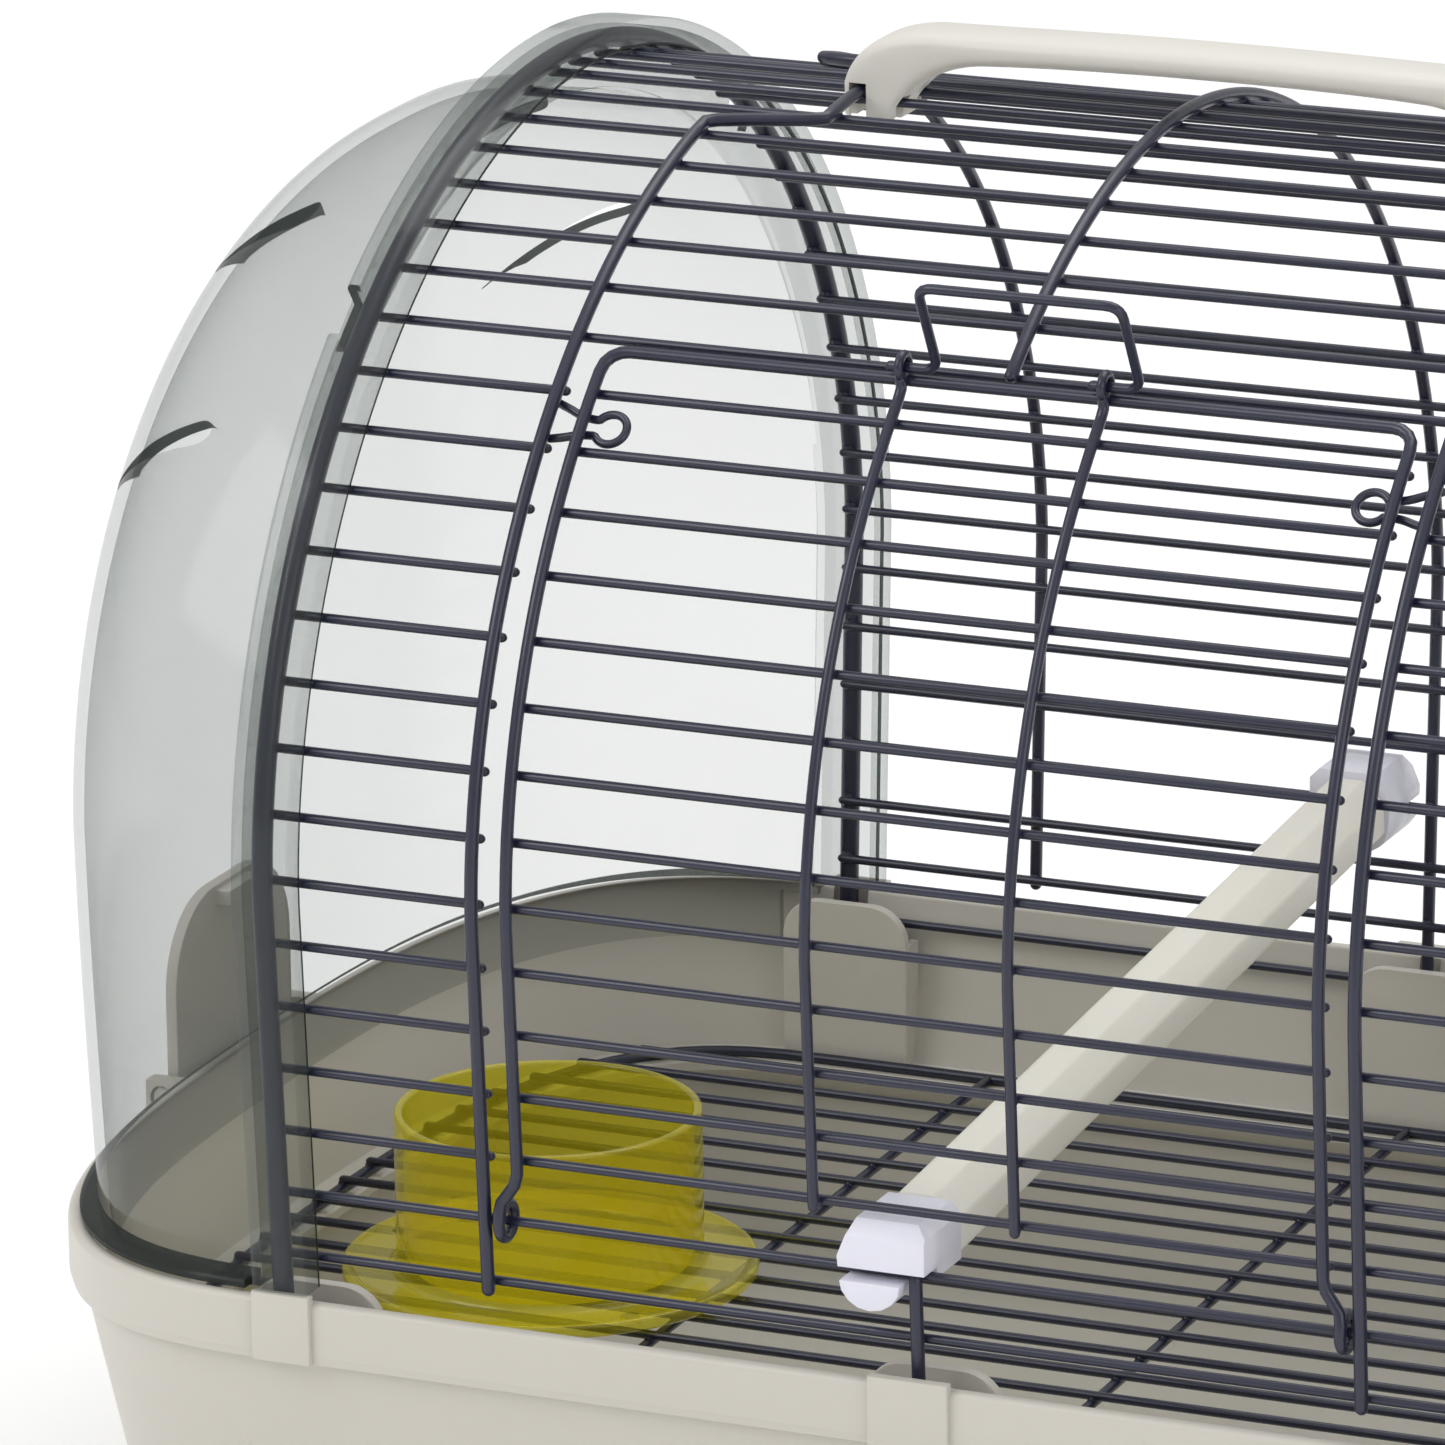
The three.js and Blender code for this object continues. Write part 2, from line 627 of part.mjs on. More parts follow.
function endClip(end) {
  const plateW = 52;
  const topZ = RIM_Z + 34;
  const round = 18;
  const outline = new THREE.Shape();
  outline.moveTo(-plateW / 2, CLIP_AXIS_Z);
  outline.lineTo(plateW / 2, CLIP_AXIS_Z);
  outline.lineTo(plateW / 2, topZ - round);
  outline.absarc(plateW / 2 - round, topZ - round, round, 0, Math.PI / 2, false);
  outline.absarc(round - plateW / 2, topZ - round, round, Math.PI / 2, Math.PI, false);
  const plate = new THREE.ExtrudeGeometry(outline, { depth: 2.4, bevelEnabled: false, curveSegments: 5 });
  plate.rotateX(Math.PI / 2).rotateZ(Math.PI / 2).translate(CLIP_AXIS_X - 1.2, 0, 0);
  const axis = (y) => new THREE.Vector3(CLIP_AXIS_X, y, CLIP_AXIS_Z);
  const knuckle = rod(axis(-LUG_Y + 0.5), axis(LUG_Y - 0.5), 2.5, 8);
  const pin = rod(axis(-LUG_Y - LUG_W + 0.5), axis(LUG_Y + LUG_W - 0.5), 2.1, 8);
  const lip = box(CLIP_AXIS_X - 4.2, CLIP_AXIS_X, -7, 7, topZ - 4, topZ - 1);
  const clip = weld(plate, knuckle, pin, lip);
  return end > 0 ? clip : clip.mirror([1, 0, 0]);
}

// ---- Floor grid ----

function gridEndX(y) {
  const halfY = 124;
  const endX = TRAY_END - (TRAY_Y - halfY) + 0.5;
  return TRAY_STRAIGHT_X + endX * (1 - Math.min(Math.abs(y) / halfY, 1) ** TRAY_POWER) ** (1 / TRAY_POWER);
}

function floorGrid() {
  const half = WIRE_W / 2;
  const crossZ = GRID_Z - 1.4;
  const sides = 36;
  const ringR = 100;
  const border = new THREE.TorusGeometry(ringR, half * Math.SQRT2, 4, sides);
  remap(border, (corner) => {
    const turn = Math.atan2(corner.y, corner.x) / (2 * Math.PI);
    const grow = Math.hypot(corner.x, corner.y) - ringR;
    const i = (Math.round(turn * sides) + sides) % sides;
    const plan = roundEndedPlan(i, sides, TRAY_STRAIGHT_X, TRAY_END - 15.5 + grow, 124 + grow, TRAY_POWER);
    return new THREE.Vector3(plan.x, plan.y, crossZ + corner.z);
  });
  const pieces = [border];
  for (let k = -9; k <= 9; k++) {
    const y = k * GRID_PITCH;
    const reach = gridEndX(y);
    pieces.push(box(-reach, reach, y - half, y + half, GRID_Z - half, GRID_Z + half));
  }
  for (const x of [-93, 0, 93]) {
    pieces.push(box(x - half, x + half, -124, 124, crossZ - half, crossZ + half));
  }
  return weld(...pieces);
}

// ---- Cup, perch and handle ----

function feederCup() {
  const wall = 1.8;
  const brimZ = RIM_Z + 3;
  const profile = [
    [0, CUP_FOOT_Z],
    [SAUCER_R - 3, CUP_FOOT_Z],
    [SAUCER_R, CUP_FOOT_Z + 1.4],
    [SAUCER_R, CUP_FOOT_Z + 3],
    [SAUCER_R - 3, CUP_FOOT_Z + 2],
    [CUP_R + 1.2, CUP_FOOT_Z + 2],
    [CUP_R, CUP_FOOT_Z + 3.4],
    [CUP_R, brimZ],
    [CUP_R - wall, brimZ],
    [CUP_R - wall, CUP_FOOT_Z + 4.5],
    [CUP_R - 2 * wall, CUP_FOOT_Z + 2.2],
    [0, CUP_FOOT_Z + 2.2],
  ];
  const cup = new THREE.LatheGeometry(profile.map(([r, z]) => new THREE.Vector2(r, z)), 32);
  cup.rotateX(Math.PI / 2).translate(CUP_X, CUP_Y, 0);
  const holes = [-40, 170].map((degrees) => {
    const angle = THREE.MathUtils.degToRad(degrees);
    const x = CUP_X + 36 * Math.cos(angle);
    const y = CUP_Y + 36 * Math.sin(angle);
    return rod(new THREE.Vector3(x, y, CUP_FOOT_Z - 1), new THREE.Vector3(x, y, CUP_FOOT_Z + 5), 2.4, 10);
  });
  return cut(weld(cup), ...holes);
}

const PERCH_FRONT_WIRE = HINGE_WIRE;
const PERCH_BACK_WIRE = 3;
const overWire = new THREE.Vector3(0, 0, PERCH_OVER_WIRE);
const perchFront = onVault(PERCH_FRONT_X, wireS(PERCH_FRONT_WIRE)).add(overWire);
const perchBack = onVault(PERCH_BACK_X, BACK_S - wireS(PERCH_BACK_WIRE)).add(overWire);
const CLIP_OUT = 4.6; // the perch's clips reach this far out from their wires
const CLIP_IN = 13.4;
const PLUG = 6.5; // length of the clips' plugs in the bar's ends
const PLUG_R = 4.6;

// A rod on the perch's line, between distances from its front end
function perchRod(from, to, radius, sides) {
  const along = perchBack.clone().sub(perchFront).normalize();
  const at = (distance) => perchFront.clone().addScaledVector(along, distance);
  return rod(at(from), at(to), radius, sides);
}

function perchBar() {
  const end = CLIP_IN + 0.8;
  const length = perchFront.distanceTo(perchBack);
  const body = weld(perchRod(end, length - end, PERCH_FLATS / 2 / Math.cos(Math.PI / 8), 8));
  const bore = PLUG_R + 0.5;
  return cut(body, perchRod(0, end + PLUG, bore, 12), perchRod(length - end - PLUG, length, bore, 12));
}

// A clip with a plug for the perch's end, slit to grip a long wire between a block and a rounded jaw
function perchClip(axis, inward, clearX) {
  const outline = new THREE.Shape();
  outline.moveTo(-8.9 * inward, 1.2);
  outline.lineTo(-6 * inward, 8.2);
  outline.lineTo(6.4 * inward, 8.2);
  outline.lineTo(8.6 * inward, 6);
  outline.lineTo(8.6 * inward, -3);
  for (let degrees = 0; degrees <= 180; degrees += 22.5) {
    const angle = THREE.MathUtils.degToRad(degrees);
    outline.lineTo((-2.4 + 6.1 * Math.cos(angle)) * inward, -3.2 - 5.7 * Math.sin(angle));
  }
  const wireY = axis.y;
  const outY = wireY - inward * CLIP_OUT;
  const block = new THREE.ExtrudeGeometry(outline, { depth: CLIP_OUT + CLIP_IN, bevelEnabled: false });
  block.rotateX(Math.PI / 2).translate(axis.x, Math.max(outY, wireY + inward * CLIP_IN), axis.z);
  const length = perchFront.distanceTo(perchBack);
  const plugs = [CLIP_IN - 1, CLIP_IN + PLUG].map((distance) => (inward > 0 ? distance : length - distance));
  const body = weld(block, perchRod(...plugs.sort((a, b) => a - b), PLUG_R, 12));
  const wireZ = axis.z - PERCH_OVER_WIRE;
  const slitYs = [outY - inward, wireY + inward * 1.6].sort((a, b) => a - b);
  const eased = box(-20, 20, -2, 2, -2, 2).rotateX(Math.PI / 4).translate(axis.x, outY, axis.z + 8.2);
  const tools = [box(axis.x - 20, axis.x + 20, ...slitYs, wireZ - 1.3, wireZ + 1.3), eased];
  if (clearX !== null) {
    tools.push(box(clearX, axis.x + 20, ...slitYs, wireZ - 12, wireZ));
  }
  return cut(body, ...tools);
}

const HANDLE_W = 15;
const FOOT_W = 11.4;

function carryHandle() {
  const outline = new THREE.Shape();
  outline.moveTo(-HANDLE_REACH, 204);
  outline.lineTo(-HANDLE_REACH, 211);
  outline.quadraticCurveTo(-70.5, 220.3, -57, 221.7);
  outline.quadraticCurveTo(-28, 222.7, 0, 222.7);
  outline.quadraticCurveTo(28, 222.7, 57, 221.7);
  outline.quadraticCurveTo(70.5, 220.3, HANDLE_REACH, 211);
  outline.lineTo(HANDLE_REACH, 204);
  outline.lineTo(HANDLE_REACH - FOOT_W, 204);
  outline.lineTo(HANDLE_REACH - FOOT_W, 206.5);
  outline.quadraticCurveTo(56.5, 214.4, 45, 215.4);
  outline.quadraticCurveTo(22, 216.2, 0, 216.2);
  outline.quadraticCurveTo(-22, 216.2, -45, 215.4);
  outline.quadraticCurveTo(-56.5, 214.4, FOOT_W - HANDLE_REACH, 206.5);
  outline.lineTo(FOOT_W - HANDLE_REACH, 204);
  const edge = 1.5;
  const arch = new THREE.ExtrudeGeometry(outline, {
    depth: HANDLE_W - 2 * edge,
    bevelThickness: edge,
    bevelSize: edge,
    bevelOffset: -edge,
    bevelSegments: 1,
    curveSegments: 6,
  });
  arch.rotateX(Math.PI / 2).translate(HANDLE_X, HANDLE_W / 2 - edge, 0);
  const crestH = CROWN_H + HOOP_LIFT;
  const wireY = onVault(0, wireS(TOP_WIRE)).y;
  const tools = [];
  for (const side of [-1, 1]) {
    const crestX = HANDLE_X + side * CREST_REACH;
    tools.push(box(crestX - 1.9, crestX + 1.9, -20, 20, 200, crestH + HOOP_W / 2 + GAP));
    tools.push(box(-90, 90, side * wireY - 1.4, side * wireY + 1.4, 200, CROWN_H + 1.4));
  }
  return cut(weld(arch), ...tools);
}

// ---- The assembly ----

function finish(color, roughness, metalness = 0, opacity = 1) {
  return () => new THREE.MeshStandardMaterial({ color, roughness, metalness, opacity, transparent: opacity < 1 });
}

const NAVY_WIRE = finish(0x2d3046, 0.45, 0.35);
const TRAY_GREY = finish(0xc8c6c0, 0.55);
const SMOKE = finish(0xc3c8c6, 0.15, 0, 0.35);
const HANDLE_BEIGE = finish(0xe1dfda, 0.5);
const CREAM = finish(0xe8e6de, 0.6);
const WHITE = finish(0xebebeb, 0.4);
const YELLOW = finish(0xa59619, 0.25, 0, 0.8);

function piece(name, body, material) {
  const mesh = new THREE.Mesh(geometryOf(body), material());
  mesh.name = name;
  return mesh;
}

const base = new THREE.Group();
base.add(
  piece("tray", tray(), TRAY_GREY),
  piece("floor_grid", floorGrid(), NAVY_WIRE),
  piece("end_clip_left", endClip(-1), TRAY_GREY),
  piece("end_clip_right", endClip(1), TRAY_GREY),
  piece("feeder_cup", feederCup(), YELLOW),
);

// The cage top is drawn in heights above the rim
const top = new THREE.Group();
top.position.z = RIM_Z;
const rightDome = piece("dome_right", dome(), SMOKE);
rightDome.rotation.z = Math.PI;
top.add(
  piece("wire_barrel", wireBarrel(), NAVY_WIRE),
  piece("dome_left", dome(), SMOKE),
  rightDome,
  piece("door", door(), NAVY_WIRE),
  piece("door_bail", doorBail(), NAVY_WIRE),
  piece("door_catch_left", doorCatch(-1), NAVY_WIRE),
  piece("door_catch_right", doorCatch(1), NAVY_WIRE),
  piece("carry_handle", carryHandle(), HANDLE_BEIGE),
  piece("perch_bar", perchBar(), CREAM),
  piece("perch_clip_front", perchClip(perchFront, 1, -2.1), WHITE),
  piece("perch_clip_back", perchClip(perchBack, -1, null), WHITE),
);

const cage = new THREE.Group();
cage.add(base, top);
export default cage;
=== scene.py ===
"""A small-pet carry cage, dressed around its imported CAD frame.

Shapes are worked out in millimetres, in the frame's own axes, and scaled to metres as each mesh is made.
The vault, the domes and the tray follow the same formulas as the CAD, with round wires and fine surfaces.
"""

import math

import bmesh
import bpy
import numpy as np
from mathutils import Matrix, Vector

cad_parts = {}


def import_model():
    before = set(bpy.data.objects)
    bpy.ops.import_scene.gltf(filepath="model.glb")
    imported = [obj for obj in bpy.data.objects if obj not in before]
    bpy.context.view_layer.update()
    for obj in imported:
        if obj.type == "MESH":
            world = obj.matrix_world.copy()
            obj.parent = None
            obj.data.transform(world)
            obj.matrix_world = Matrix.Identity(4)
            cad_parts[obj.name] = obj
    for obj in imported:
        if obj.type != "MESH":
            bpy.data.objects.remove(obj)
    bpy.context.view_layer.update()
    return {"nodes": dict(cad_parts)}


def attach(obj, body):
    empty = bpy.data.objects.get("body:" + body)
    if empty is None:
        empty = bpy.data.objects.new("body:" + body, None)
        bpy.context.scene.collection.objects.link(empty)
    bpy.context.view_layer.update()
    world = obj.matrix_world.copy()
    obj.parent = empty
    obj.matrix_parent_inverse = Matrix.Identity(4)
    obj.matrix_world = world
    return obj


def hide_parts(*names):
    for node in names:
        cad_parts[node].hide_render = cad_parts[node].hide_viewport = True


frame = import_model()

# ---- Driving dimensions, in mm ----
# _H is a height above the tray's rim, _S a girth over the vault from the front's wire 1, _R a radius,
# and _LIFT a distance outward from the vault.
MM = 0.001
RIM_Z = 80.0

# The vault's section, its wires and its hoops.
FOOT_Y, LEG_LEAN, SPRING_H = 133.25, 0.059, 79.64
ARCH_RISE, ARCH_POWER = 127.76, 1.945
ARCH_Y = FOOT_Y + LEG_LEAN * SPRING_H
CROWN_H = SPRING_H + ARCH_RISE
START_H, LEG_BOTTOM_H = -20.0, -12.0
LEG_SLOPE = math.hypot(1, LEG_LEAN)
WIRE_PITCH, FIRST_WIRE_H, TOP_WIRE = 12.5, 7.5, 23
WIRE_R, HOOP_R, END_HOOP_R, END_HOOP_X = 0.92, 1.3, 2.0, 129.5
WELD = 0.2  # how far a hoop sinks into the wires it is welded to
HOOP_LIFT = WIRE_R + HOOP_R - WELD
END_HOOP_LIFT = WIRE_R + END_HOOP_R - WELD
SIDE_HOOP_X, CREST_Y, CREST_STEP_Y = 87.0, 22.0, 6.5

# The handle.
HANDLE_X, HANDLE_REACH, HANDLE_FOOT_H, FOOT_W, CREST_REACH = 5.0, 73.0, 204, 11.4, 69.5

# The door, its hinge eyes and the bail's eyes.
DOOR_WIRES = range(3, 16)
DOOR_X, DOOR_TOP_S, DOOR_BAR_R, DOOR_CORNER_R, RIB_X = 80.0, 183.7, 1.2, 4.5, 20.0
HINGE_EYE_X, HINGE_EYE_R, HINGE_EYE_WIRE_R = 83.6, 3.3, 1.15
BAIL_EYE_S, BAIL_EYE_LIFT, BAIL_EYE_R, BAIL_EYE_WIRE_R = 184.5, 4.7, 2.3, 0.9

# The tray's rim: straight sides and superelliptic ends.
TRAY_STRAIGHT_X, TRAY_END, TRAY_Y, TRAY_POWER = 129.5, 75.0, 140.0, 2.87

# The domes, with the channel and the flange round their mouths.
DOME_X, DOME_REACH, DOME_POWER, DOME_RISE_POWER = 129.45, 71.2, 2.89, 3.16
DOME_SWELL, DOME_SCALE, DOME_INSET, DOME_WALL = 0.092, 0.975, 2.9, 2.0
DOME_TOP_H = CROWN_H * DOME_SCALE
CHANNEL_OUT, CHANNEL_IN, CHANNEL_LIFT, CHANNEL_WALL = 5.0, 7.0, 7.1, 1.9
CHANNEL_SEAT_LIFT, CROWN_SEAT_DEPTH = -5.4, 2.2
FLANGE_X, FLANGE_INSET = 137.0, 2.2
NOTCH_S = (178, 189)
VENTS = (  # the point and the round end as (turn in degrees, height), the upward bulge and the thickness
    ((37.6, 138), (71, 156), 2.2, 3.8),
    ((30, 174), (60.7, 188), 1.5, 3.4),
)

# The floor grid and the cup.
GRID_Z, GRID_PITCH, GRID_INSET, GRID_HALF_Y = RIM_Z - 32.4, 12.4, 15.5, 124.0
GRID_CROSS_X = (-93, 0, 93)
CUP_X, CUP_Y, CUP_R, SAUCER_R = -125.0, -26.0, 30.5, 41.5


# ---- Meshes ----

def piece(name, shells, body=None, material=None, sharp=35.0, replaces=None):
    """One object of closed shells of (points in mm, faces); with a body, it rides on that CAD body."""
    points, faces, start = [], [], 0
    for shell_points, shell_faces in shells:
        points.append(np.asarray(shell_points, float) * MM)
        faces.extend(tuple(i + start for i in face) for face in shell_faces)
        start += len(shell_points)
    mesh = bpy.data.meshes.new(name)
    mesh.from_pydata(np.concatenate(points).tolist(), [], faces)
    obj = bpy.data.objects.new(name, mesh)
    bpy.context.scene.collection.objects.link(obj)
    tidy_normals(mesh, sharp)
    if material:
        mesh.materials.append(material)
    if body:
        dress(obj, body, replaces)
    return obj


def tidy_normals(mesh, sharp):
    """Turns faces outward and shades smooth, except over edges sharper than an angle in degrees."""
    work = bmesh.new()
    work.from_mesh(mesh)
    bmesh.ops.recalc_face_normals(work, faces=work.faces)
    work.to_mesh(mesh)
    work.free()
    mesh.shade_smooth()
    mesh.set_sharp_from_angle(angle=math.radians(sharp))


def dress(obj, body, replaces=None):
    """Fixes an object to a CAD body and the CAD node it stands for."""
    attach(obj, body)
    if replaces:
        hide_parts(replaces)


def combine(obj, others, operation, overlapping=False):
    """Joins others to obj or cuts them from it, and removes them; their own shells may be overlapping."""
    for other in others:
        modifier = obj.modifiers.new("combine", "BOOLEAN")
        modifier.object, modifier.operation, modifier.solver = other, operation, "EXACT"
        modifier.use_self = overlapping
    bake_modifiers(obj)
    for other in others:
        bpy.data.objects.remove(other)


def bake_modifiers(obj):
    bpy.context.view_layer.update()
    evaluated = obj.evaluated_get(bpy.context.evaluated_depsgraph_get())
    mesh = bpy.data.meshes.new_from_object(evaluated)
    obj.modifiers.clear()
    obj.data = mesh


def unit(vectors):
    return vectors / np.linalg.norm(vectors, axis=-1, keepdims=True)


def tube(points, radius, sides=12, rounded=True):
    """A round wire along points, with domed ends."""
    path = np.asarray(points, float)
    radii = np.full(len(path), float(radius))
    along = unit(np.diff(path, axis=0))
    if rounded:
        steps = np.radians([30, 60, 82])
        front = [path[0] - along[0] * radius * math.sin(a) for a in steps[::-1]]
        back = [path[-1] + along[-1] * radius * math.sin(a) for a in steps]
        path = np.concatenate([front, path, back])
        caps = radius * np.cos(steps)
        radii = np.concatenate([caps[::-1], radii, caps])
        along = unit(np.diff(path, axis=0))
    tangents = unit(np.concatenate([along[:1], unit(along[1:] + along[:-1]), along[-1:]]))
    across = np.cross(tangents[0], (1, 0, 0) if abs(tangents[0][0]) < 0.8 else (0, 0, 1))
    rings = []
    for centre, tangent, r in zip(path, tangents, radii):
        across = across - tangent * (across @ tangent)
        across = across / np.linalg.norm(across)
        up = np.cross(tangent, across)
        angles = np.arange(sides) * 2 * np.pi / sides
        rings.append(centre + r * (np.outer(np.cos(angles), across) + np.outer(np.sin(angles), up)))
    return loft(rings)


def loft(rings, closed=False):
    """A closed shell through rings of equal length: capped at both ends, or joined end to end."""
    rings = np.asarray(rings, float)
    count, sides = rings.shape[:2]
    points = rings.reshape(-1, 3)
    i = np.arange(sides)
    j = (i + 1) % sides
    faces = []
    for k in range(count if closed else count - 1):
        a, b = k * sides, (k + 1) % count * sides
        faces.extend(np.stack([a + i, a + j, b + j, b + i], axis=1).tolist())
    if not closed:
        faces.append(list(range(sides))[::-1])
        faces.append(list(range((count - 1) * sides, count * sides)))
    return points, faces


def nugget(centre, radius):
    """A small ball of weld."""
    angles = np.arange(8) * np.pi / 4
    rings = []
    for tilt in np.radians([-80, -45, 0, 45, 80]):
        circle = np.stack([np.cos(angles), np.sin(angles), np.full(8, math.tan(tilt))], axis=1)
        rings.append(centre + radius * unit(circle))
    return loft(rings)


def eye(centre, radius, wire_radius, sides=10, steps=28):
    """A wire ring about the X direction."""
    turn = np.arange(steps) * 2 * np.pi / steps
    section = np.arange(sides) * 2 * np.pi / sides
    rings = []
    for a in turn:
        out = np.array([0, math.cos(a), math.sin(a)])
        round_wire = np.outer(np.cos(section), out) + np.outer(np.sin(section), (1, 0, 0))
        rings.append(centre + radius * out + wire_radius * round_wire)
    return loft(rings, closed=True)


def box_shell(low, high):
    x0, y0, z0 = low
    x1, y1, z1 = high
    ring = [(x0, y0), (x1, y0), (x1, y1), (x0, y1)]
    return loft([[(x, y, z) for x, y in ring] for z in (z0, z1)])


def side_box(side, xs, ys, zs):
    """A box on the front (side -1) or the back (side 1), with y measured outward."""
    y0, y1 = sorted((side * ys[0], side * ys[1]))
    return box_shell((xs[0], y0, zs[0]), (xs[1], y1, zs[1]))


def super_power(value, power):
    return np.sign(value) * np.abs(value) ** (2.0 / power)


# ---- The vault ----

def section_table():
    """The half section finely sampled: girth from wire 1, y, height."""
    leg = np.linspace(START_H, SPRING_H, 200)[:-1]
    angle = np.linspace(0, np.pi / 2, 4000)
    arch_y = ARCH_Y * super_power(np.maximum(np.cos(angle), 0), ARCH_POWER)
    arch_z = SPRING_H + ARCH_RISE * super_power(np.sin(angle), ARCH_POWER)
    y = np.concatenate([FOOT_Y + LEG_LEAN * leg, arch_y])
    z = np.concatenate([leg, arch_z])
    s = np.concatenate([[0], np.cumsum(np.hypot(np.diff(y), np.diff(z)))])
    return s + (START_H - FIRST_WIRE_H) * LEG_SLOPE, y, z


SECTION_S, SECTION_Y, SECTION_Z = section_table()
CROWN_S = float(SECTION_S[-1])
BACK_S = 2 * CROWN_S
SECTION_DY = np.gradient(SECTION_Y, SECTION_S)
SECTION_DZ = np.gradient(SECTION_Z, SECTION_S)


def on_vault(x, s, lift=0.0):
    """A point by girth s, from the front's wire 1 over the crown to the back's, and by distance outward."""
    front = s <= CROWN_S
    half = s if front else BACK_S - s
    y, z = np.interp(half, SECTION_S, SECTION_Y), np.interp(half, SECTION_S, SECTION_Z)
    dy, dz = np.interp(half, SECTION_S, SECTION_DY), np.interp(half, SECTION_S, SECTION_DZ)
    out_y = y + lift * dz
    return np.array([x, -out_y if front else out_y, RIM_Z + z - lift * dy])


def leg_s(height):
    return (height - FIRST_WIRE_H) * LEG_SLOPE


def wire_s(number):
    return WIRE_PITCH * (number - 1)


def height_at(s):
    return on_vault(0, s)[2] - RIM_Z


LEG_END_S = leg_s(LEG_BOTTOM_H + 1)


def end_hoop(side):
    places = np.linspace(LEG_END_S, BACK_S - LEG_END_S, 150)
    return tube([on_vault(side * END_HOOP_X, s, END_HOOP_LIFT) for s in places], END_HOOP_R, 16)


def side_hoop_x(s, side):
    """The hoops beside the door step inward over the crown, where the handle holds them."""
    crest = abs(HANDLE_X + side * CREST_REACH)
    beyond = np.clip((abs(s - CROWN_S) - CREST_Y) / CREST_STEP_Y, 0, 1)
    step = 1 - beyond * beyond * (3 - 2 * beyond)
    return SIDE_HOOP_X - (SIDE_HOOP_X - crest) * step


def side_hoop(side):
    step_s = CROWN_S - (CREST_Y + CREST_STEP_Y)
    front = np.concatenate([np.linspace(-1.2, step_s, 60), np.linspace(step_s, CROWN_S, 24)[1:]])
    places = np.concatenate([front, BACK_S - front[-2::-1]])
    return tube([on_vault(side * side_hoop_x(s, side), s, HOOP_LIFT) for s in places], HOOP_R, 14)


def mid_hoop(from_s, to_s, steps):
    return tube([on_vault(0, s, HOOP_LIFT) for s in np.linspace(from_s, to_s, steps)], HOOP_R, 14)


def long_wire(x0, x1, s):
    return tube([on_vault(x0, s), on_vault(x1, s)], WIRE_R, 10)


def barrel_shells():
    """The hoops, the wires across them and a ball of weld wherever they cross."""
    shells = [end_hoop(-1), end_hoop(1), side_hoop(-1), side_hoop(1)]
    shells.append(mid_hoop(wire_s(DOOR_WIRES.stop) - 0.8, BACK_S - LEG_END_S, 110))
    shells.append(mid_hoop(LEG_END_S, wire_s(DOOR_WIRES.start - 1) - 0.4, 6))
    end_x, door_side_x = END_HOOP_X + 0.6, SIDE_HOOP_X - 0.8
    weld_r, end_weld_r = 1.25, 1.5
    for front in (True, False):
        for number in range(TOP_WIRE + 1):
            s = wire_s(number) if front else BACK_S - wire_s(number)
            doorway = front and number in DOOR_WIRES
            spans = [(-end_x, -door_side_x), (door_side_x, end_x)] if doorway else [(-end_x, end_x)]
            shells.extend(long_wire(x0, x1, s) for x0, x1 in spans)
            crossings = [side * side_hoop_x(s, side) for side in (-1, 1)] if number >= 1 else []
            under_door = front and number == DOOR_WIRES.start - 1
            if not doorway and not under_door:
                crossings.append(0.0)
            shells.extend(nugget(on_vault(x, s, WIRE_R), weld_r) for x in crossings)
            shells.extend(nugget(on_vault(x, s, WIRE_R), end_weld_r) for x in (-END_HOOP_X, END_HOOP_X))
    return shells


# ---- Door, bail and catches ----

def door_shells():
    """The door's wires, its outer bar on two hinge eyes, and two ribs that end in the bail's eyes."""
    hinge_s, bar_end_s = wire_s(DOOR_WIRES.start - 1), DOOR_TOP_S - 5
    bar_lift = WIRE_R + DOOR_BAR_R - WELD
    weld_r, overhang = 1.2, 0.6
    shells = []
    for number in DOOR_WIRES:
        s = wire_s(number)
        shells.append(long_wire(-DOOR_X - overhang, DOOR_X + overhang, s))
        shells.extend(nugget(on_vault(x, s, WIRE_R), weld_r) for x in (-DOOR_X, -RIB_X, RIB_X, DOOR_X))

    def side_bar(side):
        low = [(HINGE_EYE_X, 0.5, 3.3), (HINGE_EYE_X, 2.6, 2.9), (HINGE_EYE_X - 0.3, 4.4, 2.4)]
        low += [(HINGE_EYE_X - 1.6, 6.2, 2.1), (HINGE_EYE_X - 3.0, 8.2, 2.0), (DOOR_X, 10.5, bar_lift)]
        points = [on_vault(side * x, hinge_s + up, lift) for x, up, lift in low]
        points += [on_vault(side * DOOR_X, s, bar_lift) for s in np.linspace(hinge_s + 14, bar_end_s, 48)]
        for angle in np.radians([22, 45, 68, 90]):
            x = DOOR_X - DOOR_CORNER_R * (1 - math.cos(angle))
            s = DOOR_TOP_S - DOOR_CORNER_R * (1 - math.sin(angle))
            points.append(on_vault(side * x, s, bar_lift))
        return points

    shells.append(tube(side_bar(-1) + side_bar(1)[::-1], DOOR_BAR_R, 14))
    for side in (-1, 1):
        shells.append(eye(on_vault(side * HINGE_EYE_X, hinge_s), HINGE_EYE_R, HINGE_EYE_WIRE_R))
        rib_places = np.linspace(wire_s(DOOR_WIRES.start) - 0.8, bar_end_s, 46)
        rib = [on_vault(side * RIB_X, s, bar_lift) for s in rib_places]
        for up, lift in ((-3.2, 2.3), (-2.6, 3.0), (-2.3, 4.0)):
            rib.append(on_vault(side * RIB_X, BAIL_EYE_S + up, lift))
        shells.append(tube(rib, DOOR_BAR_R - 0.12, 12))
        bail_eye = on_vault(side * RIB_X, BAIL_EYE_S, BAIL_EYE_LIFT)
        shells.append(eye(bail_eye, BAIL_EYE_R, BAIL_EYE_WIRE_R))
    return shells


